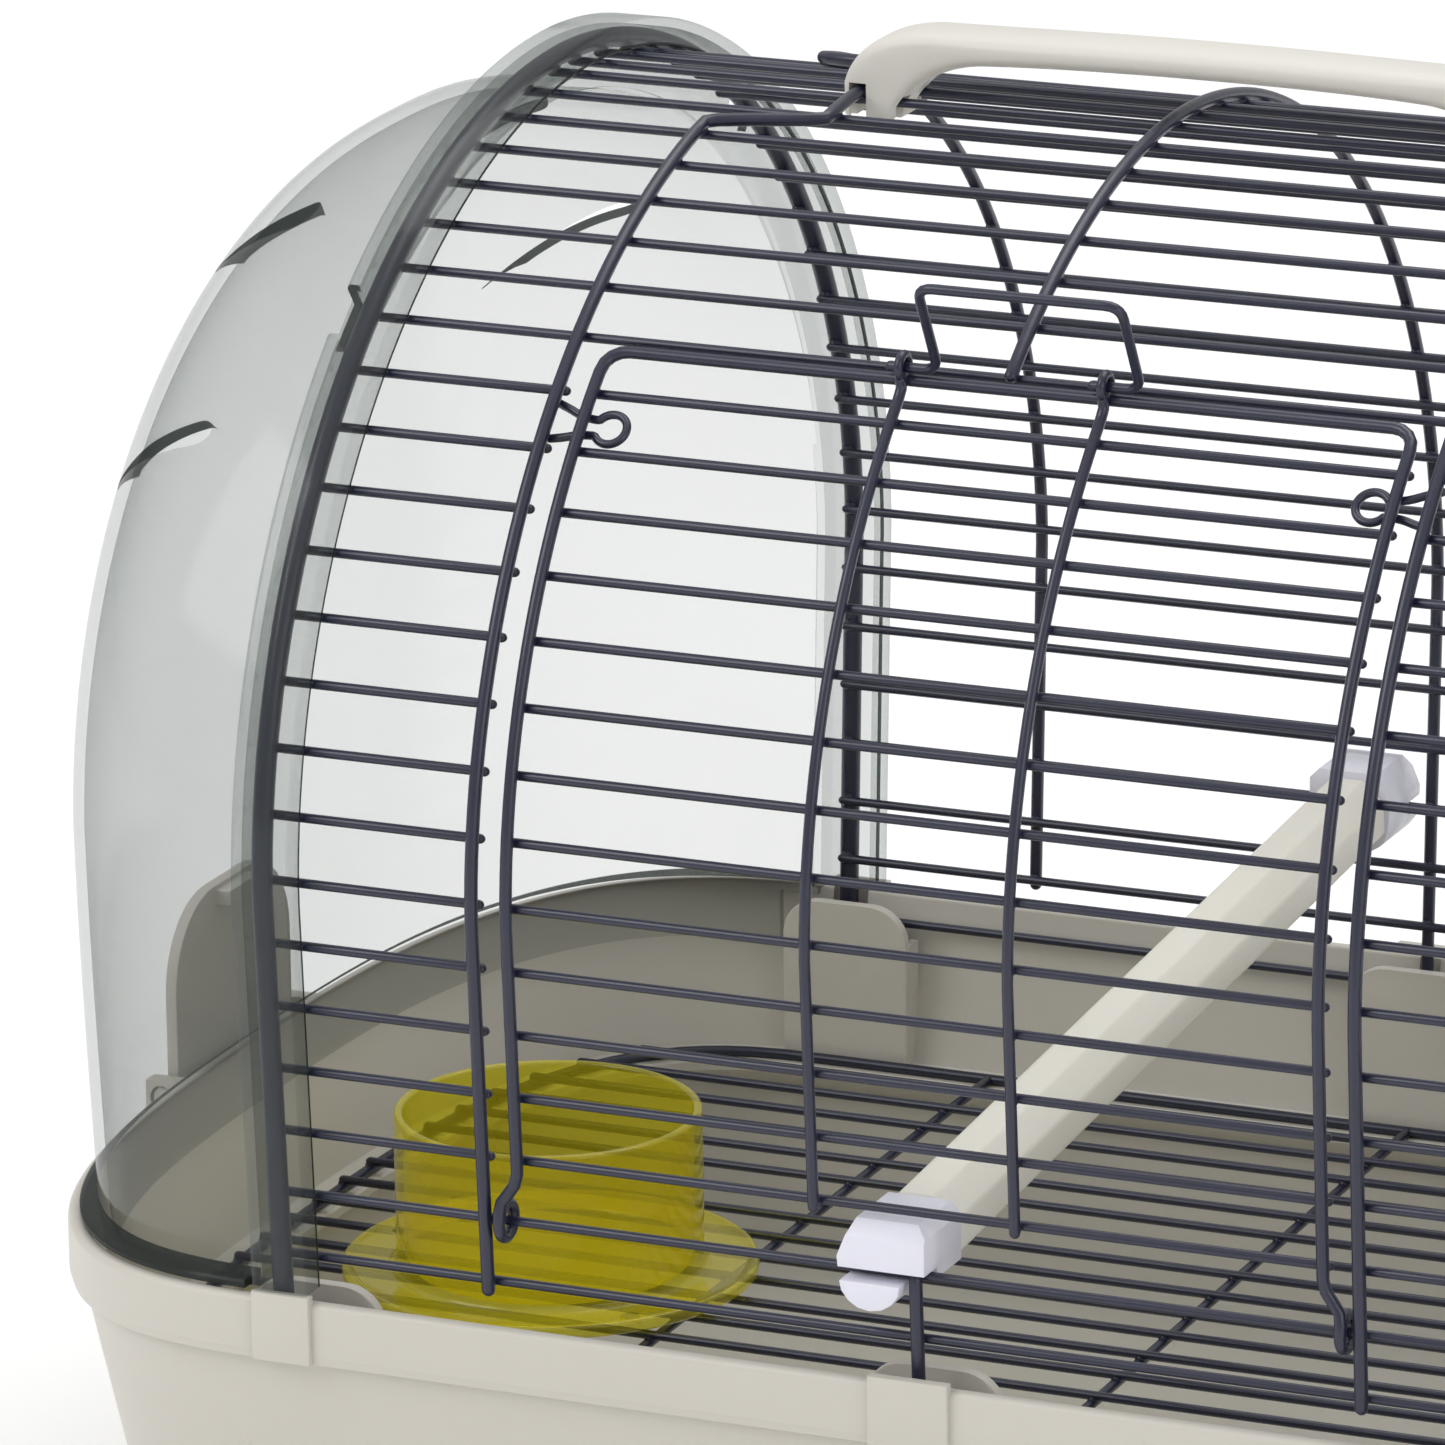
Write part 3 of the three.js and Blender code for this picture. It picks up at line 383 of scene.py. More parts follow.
def rounded_path(corners, radius, steps=6):
    """The corners joined, each inner one rounded."""
    corners = [np.asarray(c, float) for c in corners]
    path = [corners[0]]
    for a, b, c in zip(corners, corners[1:], corners[2:]):
        start = b + unit(a - b) * min(radius, 0.45 * np.linalg.norm(a - b))
        end = b + unit(c - b) * min(radius, 0.45 * np.linalg.norm(c - b))
        for t in np.linspace(0, 1, steps):
            path.append((1 - t) ** 2 * start + 2 * t * (1 - t) * b + t * t * end)
    path.append(corners[-1])
    return path


def bail_shells():
    """The bail: a wire bow, off the door's middle, whose ends turn back through the two eyes."""
    lean, height, bend_r, wire_r = math.radians(29), 20.6, 3.2, 0.98
    left, right, pin = -13.0, 27.0, 9.5
    pivot = on_vault(0, BAIL_EYE_S, BAIL_EYE_LIFT)
    top = pivot + height * np.array([0, -math.sin(lean), math.cos(lean)])
    corners = [(left - pin, *pivot[1:]), (left, *pivot[1:]), (left, *top[1:])]
    corners += [(right, *top[1:]), (right, *pivot[1:]), (right - pin, *pivot[1:])]
    return [tube(rounded_path(corners, bend_r), wire_r, 12)]


def catch_shells(side):
    """A catch by the door's top corner: a wire ring whose two ends run outward to the side hoop."""
    ring_x, ring_s, ring_r = 75.2, 168.1, 3.2
    lift, bend_r, wire_r = -0.6, 1.2, 0.82
    turns = np.radians(np.linspace(150, -150, 26))
    ring = [(ring_x - ring_r * math.cos(a), ring_s + ring_r * math.sin(a)) for a in turns]
    upper = [(87.4, 172.7), (84.5, 171.6), (81.5, 170.2)]
    lower = [(81.5, 166.2), (84, 165.4), (86.6, 164.9)]
    points = [on_vault(side * x, s, lift) for x, s in upper + ring + lower]
    return [tube(rounded_path(points, bend_r, 3), wire_r, 12)]


# ---- Domes ----

def dome_half_y(height):
    """Half the dome's width at its mouth: the vault's section, scaled down in height and drawn in."""
    h = height / DOME_SCALE
    if h < SPRING_H:
        return FOOT_Y + LEG_LEAN * h - DOME_INSET
    rise = min((h - SPRING_H) / ARCH_RISE, 1)
    return max(ARCH_Y * (1 - rise**ARCH_POWER) ** (1 / ARCH_POWER) - DOME_INSET, 0)


def dome_reach(height):
    """How far the dome's end stands out from its mouth."""
    if height <= 0:
        return DOME_REACH + 0.19 * height
    rise = min(height / DOME_TOP_H, 1)
    return DOME_REACH * (1 - rise**DOME_RISE_POWER) ** (1 / DOME_RISE_POWER) * (1 + DOME_SWELL * rise)


def on_dome(height, turn, wall=0.0):
    """A point of the left dome, turn in degrees round from -Y over the end to +Y."""
    angle = math.radians(turn)
    x = max(dome_reach(height) - wall, 0) * super_power(math.cos(angle), DOME_POWER)
    y = max(dome_half_y(max(height, 0)) - wall, 0) * super_power(math.sin(angle), DOME_POWER)
    low = height - wall / 2 if height <= 0 else height * (1 - wall / DOME_TOP_H)
    return np.array([-DOME_X - x, y, RIM_Z + low])


def dome_solid(wall, columns=120, rows=64):
    """The dome's outside or inside as a closed body, reaching past its mouth."""
    heights = [-10.0, -5.0, 0.0]
    for k in range(1, rows):
        heights.append(DOME_TOP_H * super_power(math.sin(k / rows * math.pi / 2), DOME_RISE_POWER))
    turns = 90 - 180 * np.linspace(0, 1, columns)
    past_x = -DOME_X + 12
    rings = []
    for height in heights:
        half = [on_dome(height, turn, wall) for turn in turns]
        rings.append(half + [(past_x, half[-1][1], half[-1][2]), (past_x, half[0][1], half[0][2])])
    return loft(rings)


def swept_round_mouth(section_at, places):
    """A section of (distance outward along X from the end hoop, lift), swept round the left dome's mouth."""
    return loft([[on_vault(-END_HOOP_X - dx, s, lift) for dx, lift in section_at(s)] for s in places])


def mouth_places():
    foot = leg_s(2)
    return np.linspace(foot, BACK_S - foot, 150)


def channel_shell():
    """The channel round the dome's mouth that takes the end hoop; its outer wall is deeper at the crown."""
    out, lip, top, wall = CHANNEL_OUT, CHANNEL_IN, CHANNEL_LIFT, CHANNEL_WALL

    def section_at(s):
        seat = CHANNEL_SEAT_LIFT - CROWN_SEAT_DEPTH * (height_at(s) / CROWN_H) ** 4
        section = [(out, seat), (out, top - 1.4), (out - 0.4, top - 0.5), (out - 1.2, top), (1 - lip, top)]
        section += [(0.3 - lip, top - 0.3), (-lip, top - 1), (-lip, 1.5), (0.3 - lip, 1.3)]
        section += [(wall - lip, 1.3), (wall - lip, top - wall), (out - wall, top - wall), (out - wall, seat)]
        return section

    return swept_round_mouth(section_at, mouth_places())


def lip_shell():
    """The rolled edge of the channel's lip, made in the painted-shade smoke to draw the dark line of shade
    along the lip's edge.
    """
    roll_r, roll_x, roll_lift = 0.5, 0.35 - CHANNEL_IN, 1.75
    turn = np.linspace(0, 2 * np.pi, 8, endpoint=False)
    section = [(roll_x + roll_r * math.cos(a), roll_lift + roll_r * math.sin(a)) for a in turn]
    return swept_round_mouth(lambda s: section, mouth_places())


def mouth_shell():
    """Everything of the dome's body that would stand inside the channel."""
    mouth_x = END_HOOP_X + CHANNEL_OUT - CHANNEL_WALL / 2
    return box_shell((-mouth_x, -TRAY_Y - 10, RIM_Z - 15), (0, TRAY_Y + 10, RIM_Z + CROWN_H + 5))


def dome_point(height, turn, depth):
    """A point of the left dome, drawn in (depth < 1) or out toward its middle line."""
    centre = np.array([-DOME_X, 0, RIM_Z + height * 0.6])
    return centre + (on_dome(height, turn) - centre) * depth


def vent_shell(low, high, bulge, thickness, side):
    """A comma-shaped slot through the dome's wall from its point to its round end, given as (turn, height).

    The point starts as a shallow groove, and the upper edge is cut at a slant, so that it reads dark; the
    slot's cut sides also take the painted-shade smoke.
    """
    groove_end, slant_end, round_start = 0.45, 0.5, 0.88  # as parts of the slot's length
    skin, cut_depth, outside = 0.997, 0.057, 1.05  # as parts of the way out from the dome's middle
    slot = []
    for t in np.sin(np.linspace(0, np.pi / 2, 24)):
        turn = side * (low[0] + (high[0] - low[0]) * t)
        height = low[1] + (high[1] - low[1]) * t + 4 * t * (1 - t) * bulge
        rounded = math.sqrt(max(1 - (max(t - round_start, 0) / (1 - round_start)) ** 2, 0))
        half = thickness / 2 * (0.08 + 0.92 * t**0.8) * rounded + 0.04
        deep = skin - cut_depth * min(t / groove_end, 1) ** 2
        slant = 1.4 * rounded * min(t / slant_end, 1)
        corners = ((deep, -half), (outside, -half), (outside, half + slant), (deep, half - slant * 0.6))
        slot.append([dome_point(height + offset, turn, depth) for depth, offset in corners])
    return loft(slot)


def notch_shell(from_s, to_s):
    """The gap in the channel's shoulder."""
    near, far, low, high = 2.2, 8.0, 1.0, 9.0
    section = [(near, low), (far, low), (far, high), (near, high)]
    return swept_round_mouth(lambda s: section, np.linspace(from_s, to_s, 5))


def flange_shells():
    """The dome's flange over the tray's rim, as an outer body and the space to leave out of it."""
    levels = ((0.3, 0.5), (0, 0.8), (0, 1.6), (0.5, 2.1), (1.4, 2.3))
    outside = loft([tray_ring(FLANGE_INSET + eased, RIM_Z + z) for eased, z in levels])
    far_corner = (TRAY_STRAIGHT_X + TRAY_END + 5, TRAY_Y + 5, RIM_Z + 9)
    return outside, box_shell((-FLANGE_X, -TRAY_Y - 5, RIM_Z - 5), far_corner)


def dome_part(name, shells, material_index=0):
    """A body for combine, whose faces bring their own one of the dome's materials with them."""
    made = piece(name, shells)
    for material in (SMOKE, SMOKE_THICK, SMOKE_PAINTED_SHADE):
        made.data.materials.append(material)
    made.data.polygons.foreach_set("material_index", [material_index] * len(made.data.polygons))
    return made


def dome(side):
    # Index 2 is the painted-shade smoke: the flange, the lip's roll and the cut sides of the slots and
    # notches are made near-black to stand for the dark lines of shade at edges and gaps.
    thick, dark = 1, 2
    shell = dome_part("dome_work", [dome_solid(0)])
    inside = dome_part("inside", [dome_solid(DOME_WALL)])
    mouth = dome_part("mouth", [mouth_shell()], thick)
    below = box_shell((-142, -TRAY_Y - 5, RIM_Z - 15), (10, TRAY_Y + 5, RIM_Z + 0.4))
    combine(shell, [inside, mouth, dome_part("foot", [below], thick)], "DIFFERENCE")
    outside, beyond = flange_shells()
    flange = dome_part("flange", [outside], dark)
    hollow = dome_part("hollow", [dome_solid(DOME_WALL / 2)], dark)
    combine(flange, [dome_part("beyond", [beyond], dark), hollow], "DIFFERENCE")
    channel, lip = dome_part("channel", [channel_shell()], thick), dome_part("lip", [lip_shell()], dark)
    combine(shell, [flange, channel, lip], "UNION")
    slots = [vent_shell(*vent, end) for end in (-1, 1) for vent in VENTS]
    near, far = NOTCH_S
    notches = [notch_shell(near, far), notch_shell(BACK_S - far, BACK_S - near)]
    combine(shell, [dome_part("slots", slots, dark), dome_part("notches", notches, dark)], "DIFFERENCE")
    if side > 0:
        shell.data.transform(Matrix.Rotation(math.pi, 4, "Z"))
    node = "dome_left" if side < 0 else "dome_right"
    shell.name = node + "_shell"
    tidy_normals(shell.data, 32)
    dress(shell, "cage_top", node)


# ---- Tray ----

def tray_ring(inset, z, per_end=72):
    """One level of the tray: straight sides and superelliptic ends, drawn in from the rim's outline."""
    angle = np.linspace(-np.pi / 2, np.pi / 2, per_end)
    reach = (TRAY_END - inset) * super_power(np.maximum(np.cos(angle), 0), TRAY_POWER)
    half = (TRAY_Y - inset) * super_power(np.sin(angle), TRAY_POWER)
    right = np.stack([TRAY_STRAIGHT_X + reach, half, np.full(per_end, z)], axis=1)
    return np.concatenate([right, right * (-1, -1, 1)])


def arc(centre, radius, start, end, steps=5):
    angles = np.radians(np.linspace(start, end, steps))
    return [(centre[0] + radius * math.cos(a), centre[1] + radius * math.sin(a)) for a in angles]


def tray_profile():
    """The tray's wall section as (half depth, z), from the middle of the underside round to the floor."""
    band = RIM_Z - 12.5
    ledge = GRID_Z - 2.6
    points = [(70, 0), (112, 0)]
    points += arc((119.2, 5.5), 5.5, -90, -11, 7)
    points += [(131, 35.0), (137.4, band - 0.6)]
    points += arc((137.6 + 1.2, band + 1.0), 1.0, -130, -40, 4)
    points += arc((TRAY_Y - 1.0, band + 2.2), 1.0, -30, 0, 3)
    points += arc((TRAY_Y - 1.3, RIM_Z - 1.3), 1.3, 0, 80, 5)
    points += arc((137 + 0.8, RIM_Z - 0.8), 0.8, 100, 180, 4)
    points += [(130.9, ledge + 2.0), (130.5, ledge + 0.4), (130.1, ledge), (122, ledge)]
    points += [(121.5, ledge - 0.5), (121.5, ledge - 2.2), (122, ledge - 2.8), (128.3, ledge - 7)]
    points += [(122.2, 8), (120.5, 4.6), (117, 3), (70, 3)]
    return points


def plate_outline(half, foot, top, radius, steps=10):
    """An arch-topped plate as (x, z)."""
    right = arc((half - radius, top - radius), radius, 0, 90, steps)
    left = arc((radius - half, top - radius), radius, 90, 180, steps)
    return [(-half, foot), (half, foot), *right, *left]


def bevelled_slab(outline, y0, y1, edge, x):
    """An (x, z) outline extruded along Y, with its outer edges eased."""
    points = np.asarray(outline, float)
    middle = points.mean(axis=0)
    size = np.maximum(np.abs(points - middle).max(axis=0), 1e-6)
    ease = edge * 0.3
    levels = [(y0, edge), (y0 + ease, ease), (y0 + edge, 0), (y1 - edge, 0), (y1 - ease, ease), (y1, edge)]
    rings = []
    for y, inset in levels:
        eased = middle + (points - middle) * (1 - inset / size)
        rings.append([(x + px, y, pz) for px, pz in eased])
    return loft(rings)


def hoop_posts(side):
    """On one long side: the arch-topped plates with their ribs, inside the hoops' legs."""
    foot, half_width, corner_r, edge = GRID_Z - 3.1, 14, 8, 0.5
    shells = []
    for x in (-126.6, 0, 126.6):
        ys = sorted((side * 126, side * 128.5))
        shells.append(bevelled_slab(plate_outline(half_width, foot, RIM_Z, corner_r), *ys, edge, x))
        for end in (-1, 1):
            xs = sorted((x + end * 12.2, x + end * 13.8))
            shells.append(side_box(side, xs, (128.2, 133.5), (foot, RIM_Z - 8.5)))
    return shells


def rim_tabs(side):
    """On one long side: the tabs on the rim's outside."""
    low, high, out, edge = RIM_Z - 12.1, RIM_Z + 1.5, 1.2, 0.35
    shells = []
    for x, half in ((-128, 6), (0, 8), (128, 6)):
        tab = [(-half, low), (half, low), (half, high), (-half, high)]
        ys = sorted((side * (TRAY_Y - out), side * (TRAY_Y + out)))
        shells.append(bevelled_slab(tab, *ys, edge, x))
    return shells


def leg_slots(side):
    """On one long side: the room in the rim for the hoops' legs."""
    zs = (RIM_Z + LEG_BOTTOM_H - 1.5, RIM_Z + 3)
    slots = ((-END_HOOP_X, 3.9, 138.6), (0, 2.2, 137.2), (END_HOOP_X, 3.9, 138.6))
    return [side_box(side, (x - half, x + half), (131, depth), zs) for x, half, depth in slots]


def tray(material):
    rings = [tray_ring(TRAY_Y - half, z) for half, z in tray_profile()]
    body = piece("tray_shell", [loft(rings)], material=material)
    added, cuts = [], []
    for side in (-1, 1):
        added += hoop_posts(side) + rim_tabs(side)
        cuts += leg_slots(side)
    for end in (-1, 1):
        for side in (-1, 1):
            xs = sorted((end * 203.0, end * 210.9))
            added.append(side_box(side, xs, (27.5, 31.5), (RIM_Z - 11.5, RIM_Z)))
    combine(body, [piece("added", added)], "UNION", overlapping=True)
    combine(body, [piece("cuts", cuts)], "DIFFERENCE")
    pivot_z, pivot_r, pivot_reach = RIM_Z - 3.5, 2.55, 40
    holes = []
    for x in (-207.5, 207.5):
        axis = [(x, -pivot_reach, pivot_z), (x, pivot_reach, pivot_z)]
        holes.append(tube(axis, pivot_r, 20, rounded=False))
    combine(body, [piece("holes", holes)], "DIFFERENCE")
    tidy_normals(body.data, 30)
    dress(body, "base", "tray")


# ---- Floor grid, cup and handle ----

def grid_end_x(y):
    end_x = TRAY_END - GRID_INSET
    return TRAY_STRAIGHT_X + end_x * (1 - min(abs(y) / GRID_HALF_Y, 1) ** TRAY_POWER) ** (1 / TRAY_POWER)


def grid_shells():
    """The floor grid: a border wire, the long wires and three cross wires under them."""
    cross_z, border_r, weld_r = GRID_Z - 1.5, 1.1, 1.2
    border = tray_ring(GRID_INSET, cross_z, 40)
    border[:, 1] *= GRID_HALF_Y / (TRAY_Y - GRID_INSET)
    shells = [ring_tube(border, border_r)]
    for k in range(-9, 10):
        y = k * GRID_PITCH
        reach = grid_end_x(y)
        shells.append(tube([(-reach, y, GRID_Z), (reach, y, GRID_Z)], WIRE_R, 10))
        crossings = (-reach, *GRID_CROSS_X, reach)
        shells.extend(nugget((x, y, GRID_Z - 0.9), weld_r) for x in crossings)
    for x in GRID_CROSS_X:
        shells.append(tube([(x, -GRID_HALF_Y, cross_z), (x, GRID_HALF_Y, cross_z)], WIRE_R + 0.1, 10))
    return shells


def ring_tube(points, radius, sides=10):
    """A round wire along a closed, level loop."""
    path = np.asarray(points, float)
    keep = np.linalg.norm(path - np.roll(path, 1, axis=0), axis=1) > 1e-6
    path = path[keep]
    along = unit(np.roll(path, -1, axis=0) - np.roll(path, 1, axis=0))
    outward = np.stack([along[:, 1], -along[:, 0], np.zeros(len(path))], axis=1)
    angles = np.arange(sides) * 2 * np.pi / sides
    rings = []
    for centre, out in zip(path, outward):
        round_wire = np.outer(np.cos(angles), out) + np.outer(np.sin(angles), (0, 0, 1))
        rings.append(centre + radius * round_wire)
    return loft(rings, closed=True)


def lathe(profile, centre, segments=96):
    """A body turned about a vertical axis, from (radius, z) points that start and end near the axis."""
    angles = np.arange(segments) * 2 * np.pi / segments
    circle = np.stack([np.cos(angles), np.sin(angles)], axis=1)
    rings = []
    for radius, z in profile:
        flat = np.asarray(centre) + radius * circle
        rings.append(np.column_stack([flat, np.full(segments, z)]))
    return loft(rings)


def cup(material):
    """The feeder cup on its saucer, whose rim has two holes."""
    foot, brim, wall, axis_r = GRID_Z + 1.2, RIM_Z + 3, 1.8, 0.5
    profile = [(axis_r, foot), (SAUCER_R - 3.4, foot)]
    profile += arc((SAUCER_R - 2.0, foot + 2.2), 2.2, -90, -35, 4)
    profile += arc((SAUCER_R - 0.9, foot + 2.3), 0.8, -20, 160, 7)
    profile += [(SAUCER_R - 3.2, foot + 2.0), (CUP_R + 2.0, foot + 2.0)]
    profile += arc((CUP_R + 1.6, foot + 3.6), 1.6, -100, -180, 5)
    profile += arc((CUP_R - 0.8, brim - 0.8), 0.8, 0, 90, 5)
    profile += arc((CUP_R - wall + 0.7, brim - 0.7), 0.7, 95, 180, 4)
    profile += arc((CUP_R - wall - 3.0, foot + 5.2), 3.0, 0, -90, 6)
    profile += [(axis_r, foot + 2.2)]
    body = piece("feeder_cup_shell", [lathe(profile, (CUP_X, CUP_Y))], material=material)
    hole_reach, hole_r = 36, 2.0
    holes = []
    for a in np.radians([-40, 170]):
        x, y = CUP_X + hole_reach * math.cos(a), CUP_Y + hole_reach * math.sin(a)
        holes.append(tube([(x, y, foot - 2), (x, y, foot + 6)], hole_r, 20, rounded=False))
    combine(body, [piece("cup_holes", holes)], "DIFFERENCE")
    tidy_normals(body.data, 35)
    dress(body, "cup", "feeder_cup")


def quadratic(start, control, end, steps):
    """Points of a quadratic curve, without its start."""
    t = np.linspace(0, 1, steps)[1:, None]
    return (1 - t) ** 2 * np.array(start) + 2 * t * (1 - t) * np.array(control) + t * t * np.array(end)


def handle_edge(x, knee_h, bend, shoulder, rise, middle, steps=24):
    """An edge of the handle as (x, height): up the left foot, round the shoulder and on to mid-arch."""
    knee = (x, knee_h)
    foot = [(x, HANDLE_FOOT_H), (x, HANDLE_FOOT_H + 0.8), knee]
    return [*foot, *quadratic(knee, bend, shoulder, steps), *quadratic(shoulder, rise, middle, steps)]


def handle(material):
    """The handle: a rounded section swept from foot to foot over a long flat arch."""
    outer = handle_edge(-HANDLE_REACH, 211, (-70.5, 220.3), (-57, 221.7), (-28, 222.7), (0, 222.7))
    inner = handle_edge(FOOT_W - HANDLE_REACH, 206.5, (-56.5, 214.4), (-45, 215.4), (-22, 216.2), (0, 216.2))
    half_width = 7.5
    angles = np.arange(40) * 2 * np.pi / 40
    rings = []
    for k, ((ox, oz), (ix, iz)) in enumerate(zip(outer, inner)):
        ease = 0.92 if k == 0 else 1.0
        power = 2.3 + 3.7 * min(abs(ox) / HANDLE_REACH, 1) ** 6  # rounder at mid-arch, squarer at the feet
        centre = np.array([(ox + ix) / 2, 0, (oz + iz) / 2])
        deep = ease * np.array([(ox - ix) / 2, 0, (oz - iz) / 2])
        wide = ease * half_width * np.array([0, 1, 0])
        across, along = [[super_power(turn(a), power) for a in angles] for turn in (math.cos, math.sin)]
        rings.append(np.array([centre + deep * c + wide * s for c, s in zip(across, along)]))
    rings += [ring * (-1, 1, 1) for ring in rings[-2::-1]]
    placed = [ring + (HANDLE_X, 0, RIM_Z) for ring in rings]
    body = piece("carry_handle_shell", [loft(placed)], material=material)
    low_z, wire_top = RIM_Z + 195, RIM_Z + CROWN_H + 1.4
    hoop_top = RIM_Z + CROWN_H + HOOP_LIFT + HOOP_R + 0.3
    wire_y = on_vault(0, wire_s(TOP_WIRE))[1]
    for side in (-1, 1):
        x, y = HANDLE_X + side * CREST_REACH, side * wire_y
        hoop_room = box_shell((x - 1.8, -20, low_z), (x + 1.8, 20, hoop_top))
        wire_room = box_shell((-90, y - 1.4, low_z), (90, y + 1.4, wire_top))
        for room in (hoop_room, wire_room):
            combine(body, [piece("handle_cut", [room])], "DIFFERENCE")
    tidy_normals(body.data, 40)
    dress(body, "cage_top", "carry_handle")


def eased_copy(node, width, segments, material, body):
    """A CAD node's shape with rounded edges, in its place."""
    source = frame["nodes"][node]
    mesh = source.data.copy()
    mesh.transform(source.matrix_world)
    mesh.materials.clear()
    work = bmesh.new()
    work.from_mesh(mesh)
    bmesh.ops.remove_doubles(work, verts=work.verts, dist=1e-6)
    bmesh.ops.dissolve_limit(work, angle_limit=math.radians(1), verts=work.verts, edges=work.edges)
    work.to_mesh(mesh)
    work.free()
    obj = bpy.data.objects.new(node + "_shell", mesh)
    bpy.context.scene.collection.objects.link(obj)
    bevel = obj.modifiers.new("eased", "BEVEL")
    bevel.width, bevel.segments = width * MM, segments
    bevel.limit_method, bevel.angle_limit = "ANGLE", math.radians(30)
    bake_modifiers(obj)
    tidy_normals(obj.data, 35)
    obj.data.materials.append(material)
    dress(obj, body, node)


# ---- Materials ----

OPAQUE_WHITE = (1, 1, 1, 1)


def srgb(r, g, b):
    return [((c / 255 + 0.055) / 1.055) ** 2.4 if c > 10 else c / 255 / 12.92 for c in (r, g, b)] + [1.0]


class Nodes:
    """Shorthand for building the node tree of a material or a world."""

    def __init__(self, owner):
        self.owner = owner
        owner.use_nodes = True
        self.tree = owner.node_tree
        self.tree.nodes.clear()

    def add(self, kind, inputs=None, **settings):
        node = self.tree.nodes.new(kind)
        for key, value in settings.items():
            setattr(node, key, value)
        for key, value in (inputs or {}).items():
            socket = node.inputs[key]
            if isinstance(value, bpy.types.NodeSocket):
                self.tree.links.new(value, socket)
            else:
                socket.default_value = value
        return node

    def noise(self, scale, detail):
        """Noise fixed to the object, as a value."""
        place = self.add("ShaderNodeTexCoord").outputs["Object"]
        settings = {"Vector": place, "Scale": scale, "Detail": detail, "Roughness": 0.5}
        return self.add("ShaderNodeTexNoise", settings).outputs["Fac"]

    def between(self, factor, a, b):
        """A colour between a and b."""
        inputs = {"Factor": factor, "A": a, "B": b}
        return self.add("ShaderNodeMix", inputs, data_type="RGBA").outputs["Result"]

    def wavering(self, value, noise, spread=0.15):
        """A value that noise moves up and down by a part of itself."""
        inputs = {"Value": noise, "From Min": 0.3, "From Max": 0.7}
        inputs.update({"To Min": value * (1 - spread), "To Max": value * (1 + spread)})
        return self.add("ShaderNodeMapRange", inputs).outputs["Result"]

    def bump(self, noise, strength, distance):
        settings = {"Height": noise, "Strength": strength, "Distance": distance}
        return self.add("ShaderNodeBump", settings).outputs["Normal"]

    def mix_shaders(self, factor, first, second):
        inputs = {0: factor, 1: first.outputs[0], 2: second.outputs[0]}
        return self.add("ShaderNodeMixShader", inputs)

    def out(self, shader, kind="ShaderNodeOutputMaterial"):
        self.add(kind, {"Surface": shader.outputs[0]})
        return self.owner


def plastic(name, color, shade, roughness, bump, subsurface):
    """Moulded plastic: slow colour drift, a fine moulding grain and a patchy gloss."""
    nodes = Nodes(bpy.data.materials.new(name))
    return nodes.out(nodes.add("ShaderNodeBsdfPrincipled", {
        "Base Color": nodes.between(nodes.noise(9.0, 2.0), shade, color),
        "Roughness": nodes.wavering(roughness, nodes.noise(28.0, 3.0)),
        "Normal": nodes.bump(nodes.noise(900.0, 4.0), bump, 0.0004),
        "Subsurface Weight": subsurface, "Subsurface Scale": 0.004}))


def coated_wire():
    """Dip-coated wire: near-black blue, with a slight orange peel under a thin gloss."""
    nodes = Nodes(bpy.data.materials.new("coated_wire"))
    return nodes.out(nodes.add("ShaderNodeBsdfPrincipled", {
        "Base Color": nodes.between(nodes.noise(60.0, 3.0), srgb(18, 21, 42), srgb(28, 32, 58)),
        "Normal": nodes.bump(nodes.noise(420.0, 2.0), 0.25, 0.0003),
        "Roughness": 0.38, "Coat Weight": 0.35, "Coat Roughness": 0.22}))


def clear_plastic(name, face_tint, edge_tint, haze_color, haze, roughness, gloss=0.5):
    """See-through plastic that tints once per wall: deeper where it is seen edge on, with haze and gloss."""
    nodes = Nodes(bpy.data.materials.new(name))
    facing = nodes.add("ShaderNodeLayerWeight", {"Blend": 0.4}).outputs["Facing"]
    edge_on = nodes.add("ShaderNodeMath", {0: facing, 1: 2.0}, operation="POWER").outputs[0]
    tint = nodes.between(edge_on, (*face_tint, 1), (*edge_tint, 1))
    through = nodes.add("ShaderNodeBsdfTransparent", {"Color": tint})
    milk = nodes.add("ShaderNodeBsdfDiffuse", {"Color": haze_color})
    body = nodes.mix_shaders(nodes.wavering(haze, nodes.noise(14.0, 2.0)), through, milk)
    ripple = nodes.bump(nodes.noise(22.0, 1.0), 0.02, 0.002)
    mirror = nodes.add("ShaderNodeBsdfGlossy", {
        "Color": OPAQUE_WHITE, "Roughness": roughness, "Normal": ripple})
    fresnel = nodes.add("ShaderNodeFresnel", {"IOR": 1.45, "Normal": ripple}).outputs[0]
    shine = nodes.add("ShaderNodeMath", {0: fresnel, 1: gloss}, operation="MULTIPLY").outputs[0]
    front = nodes.mix_shaders(shine, body, mirror)
    behind = nodes.add("ShaderNodeBsdfTransparent", {"Color": OPAQUE_WHITE})
    from_behind = nodes.add("ShaderNodeNewGeometry").outputs["Backfacing"]
    return nodes.out(nodes.mix_shaders(from_behind, front, behind))


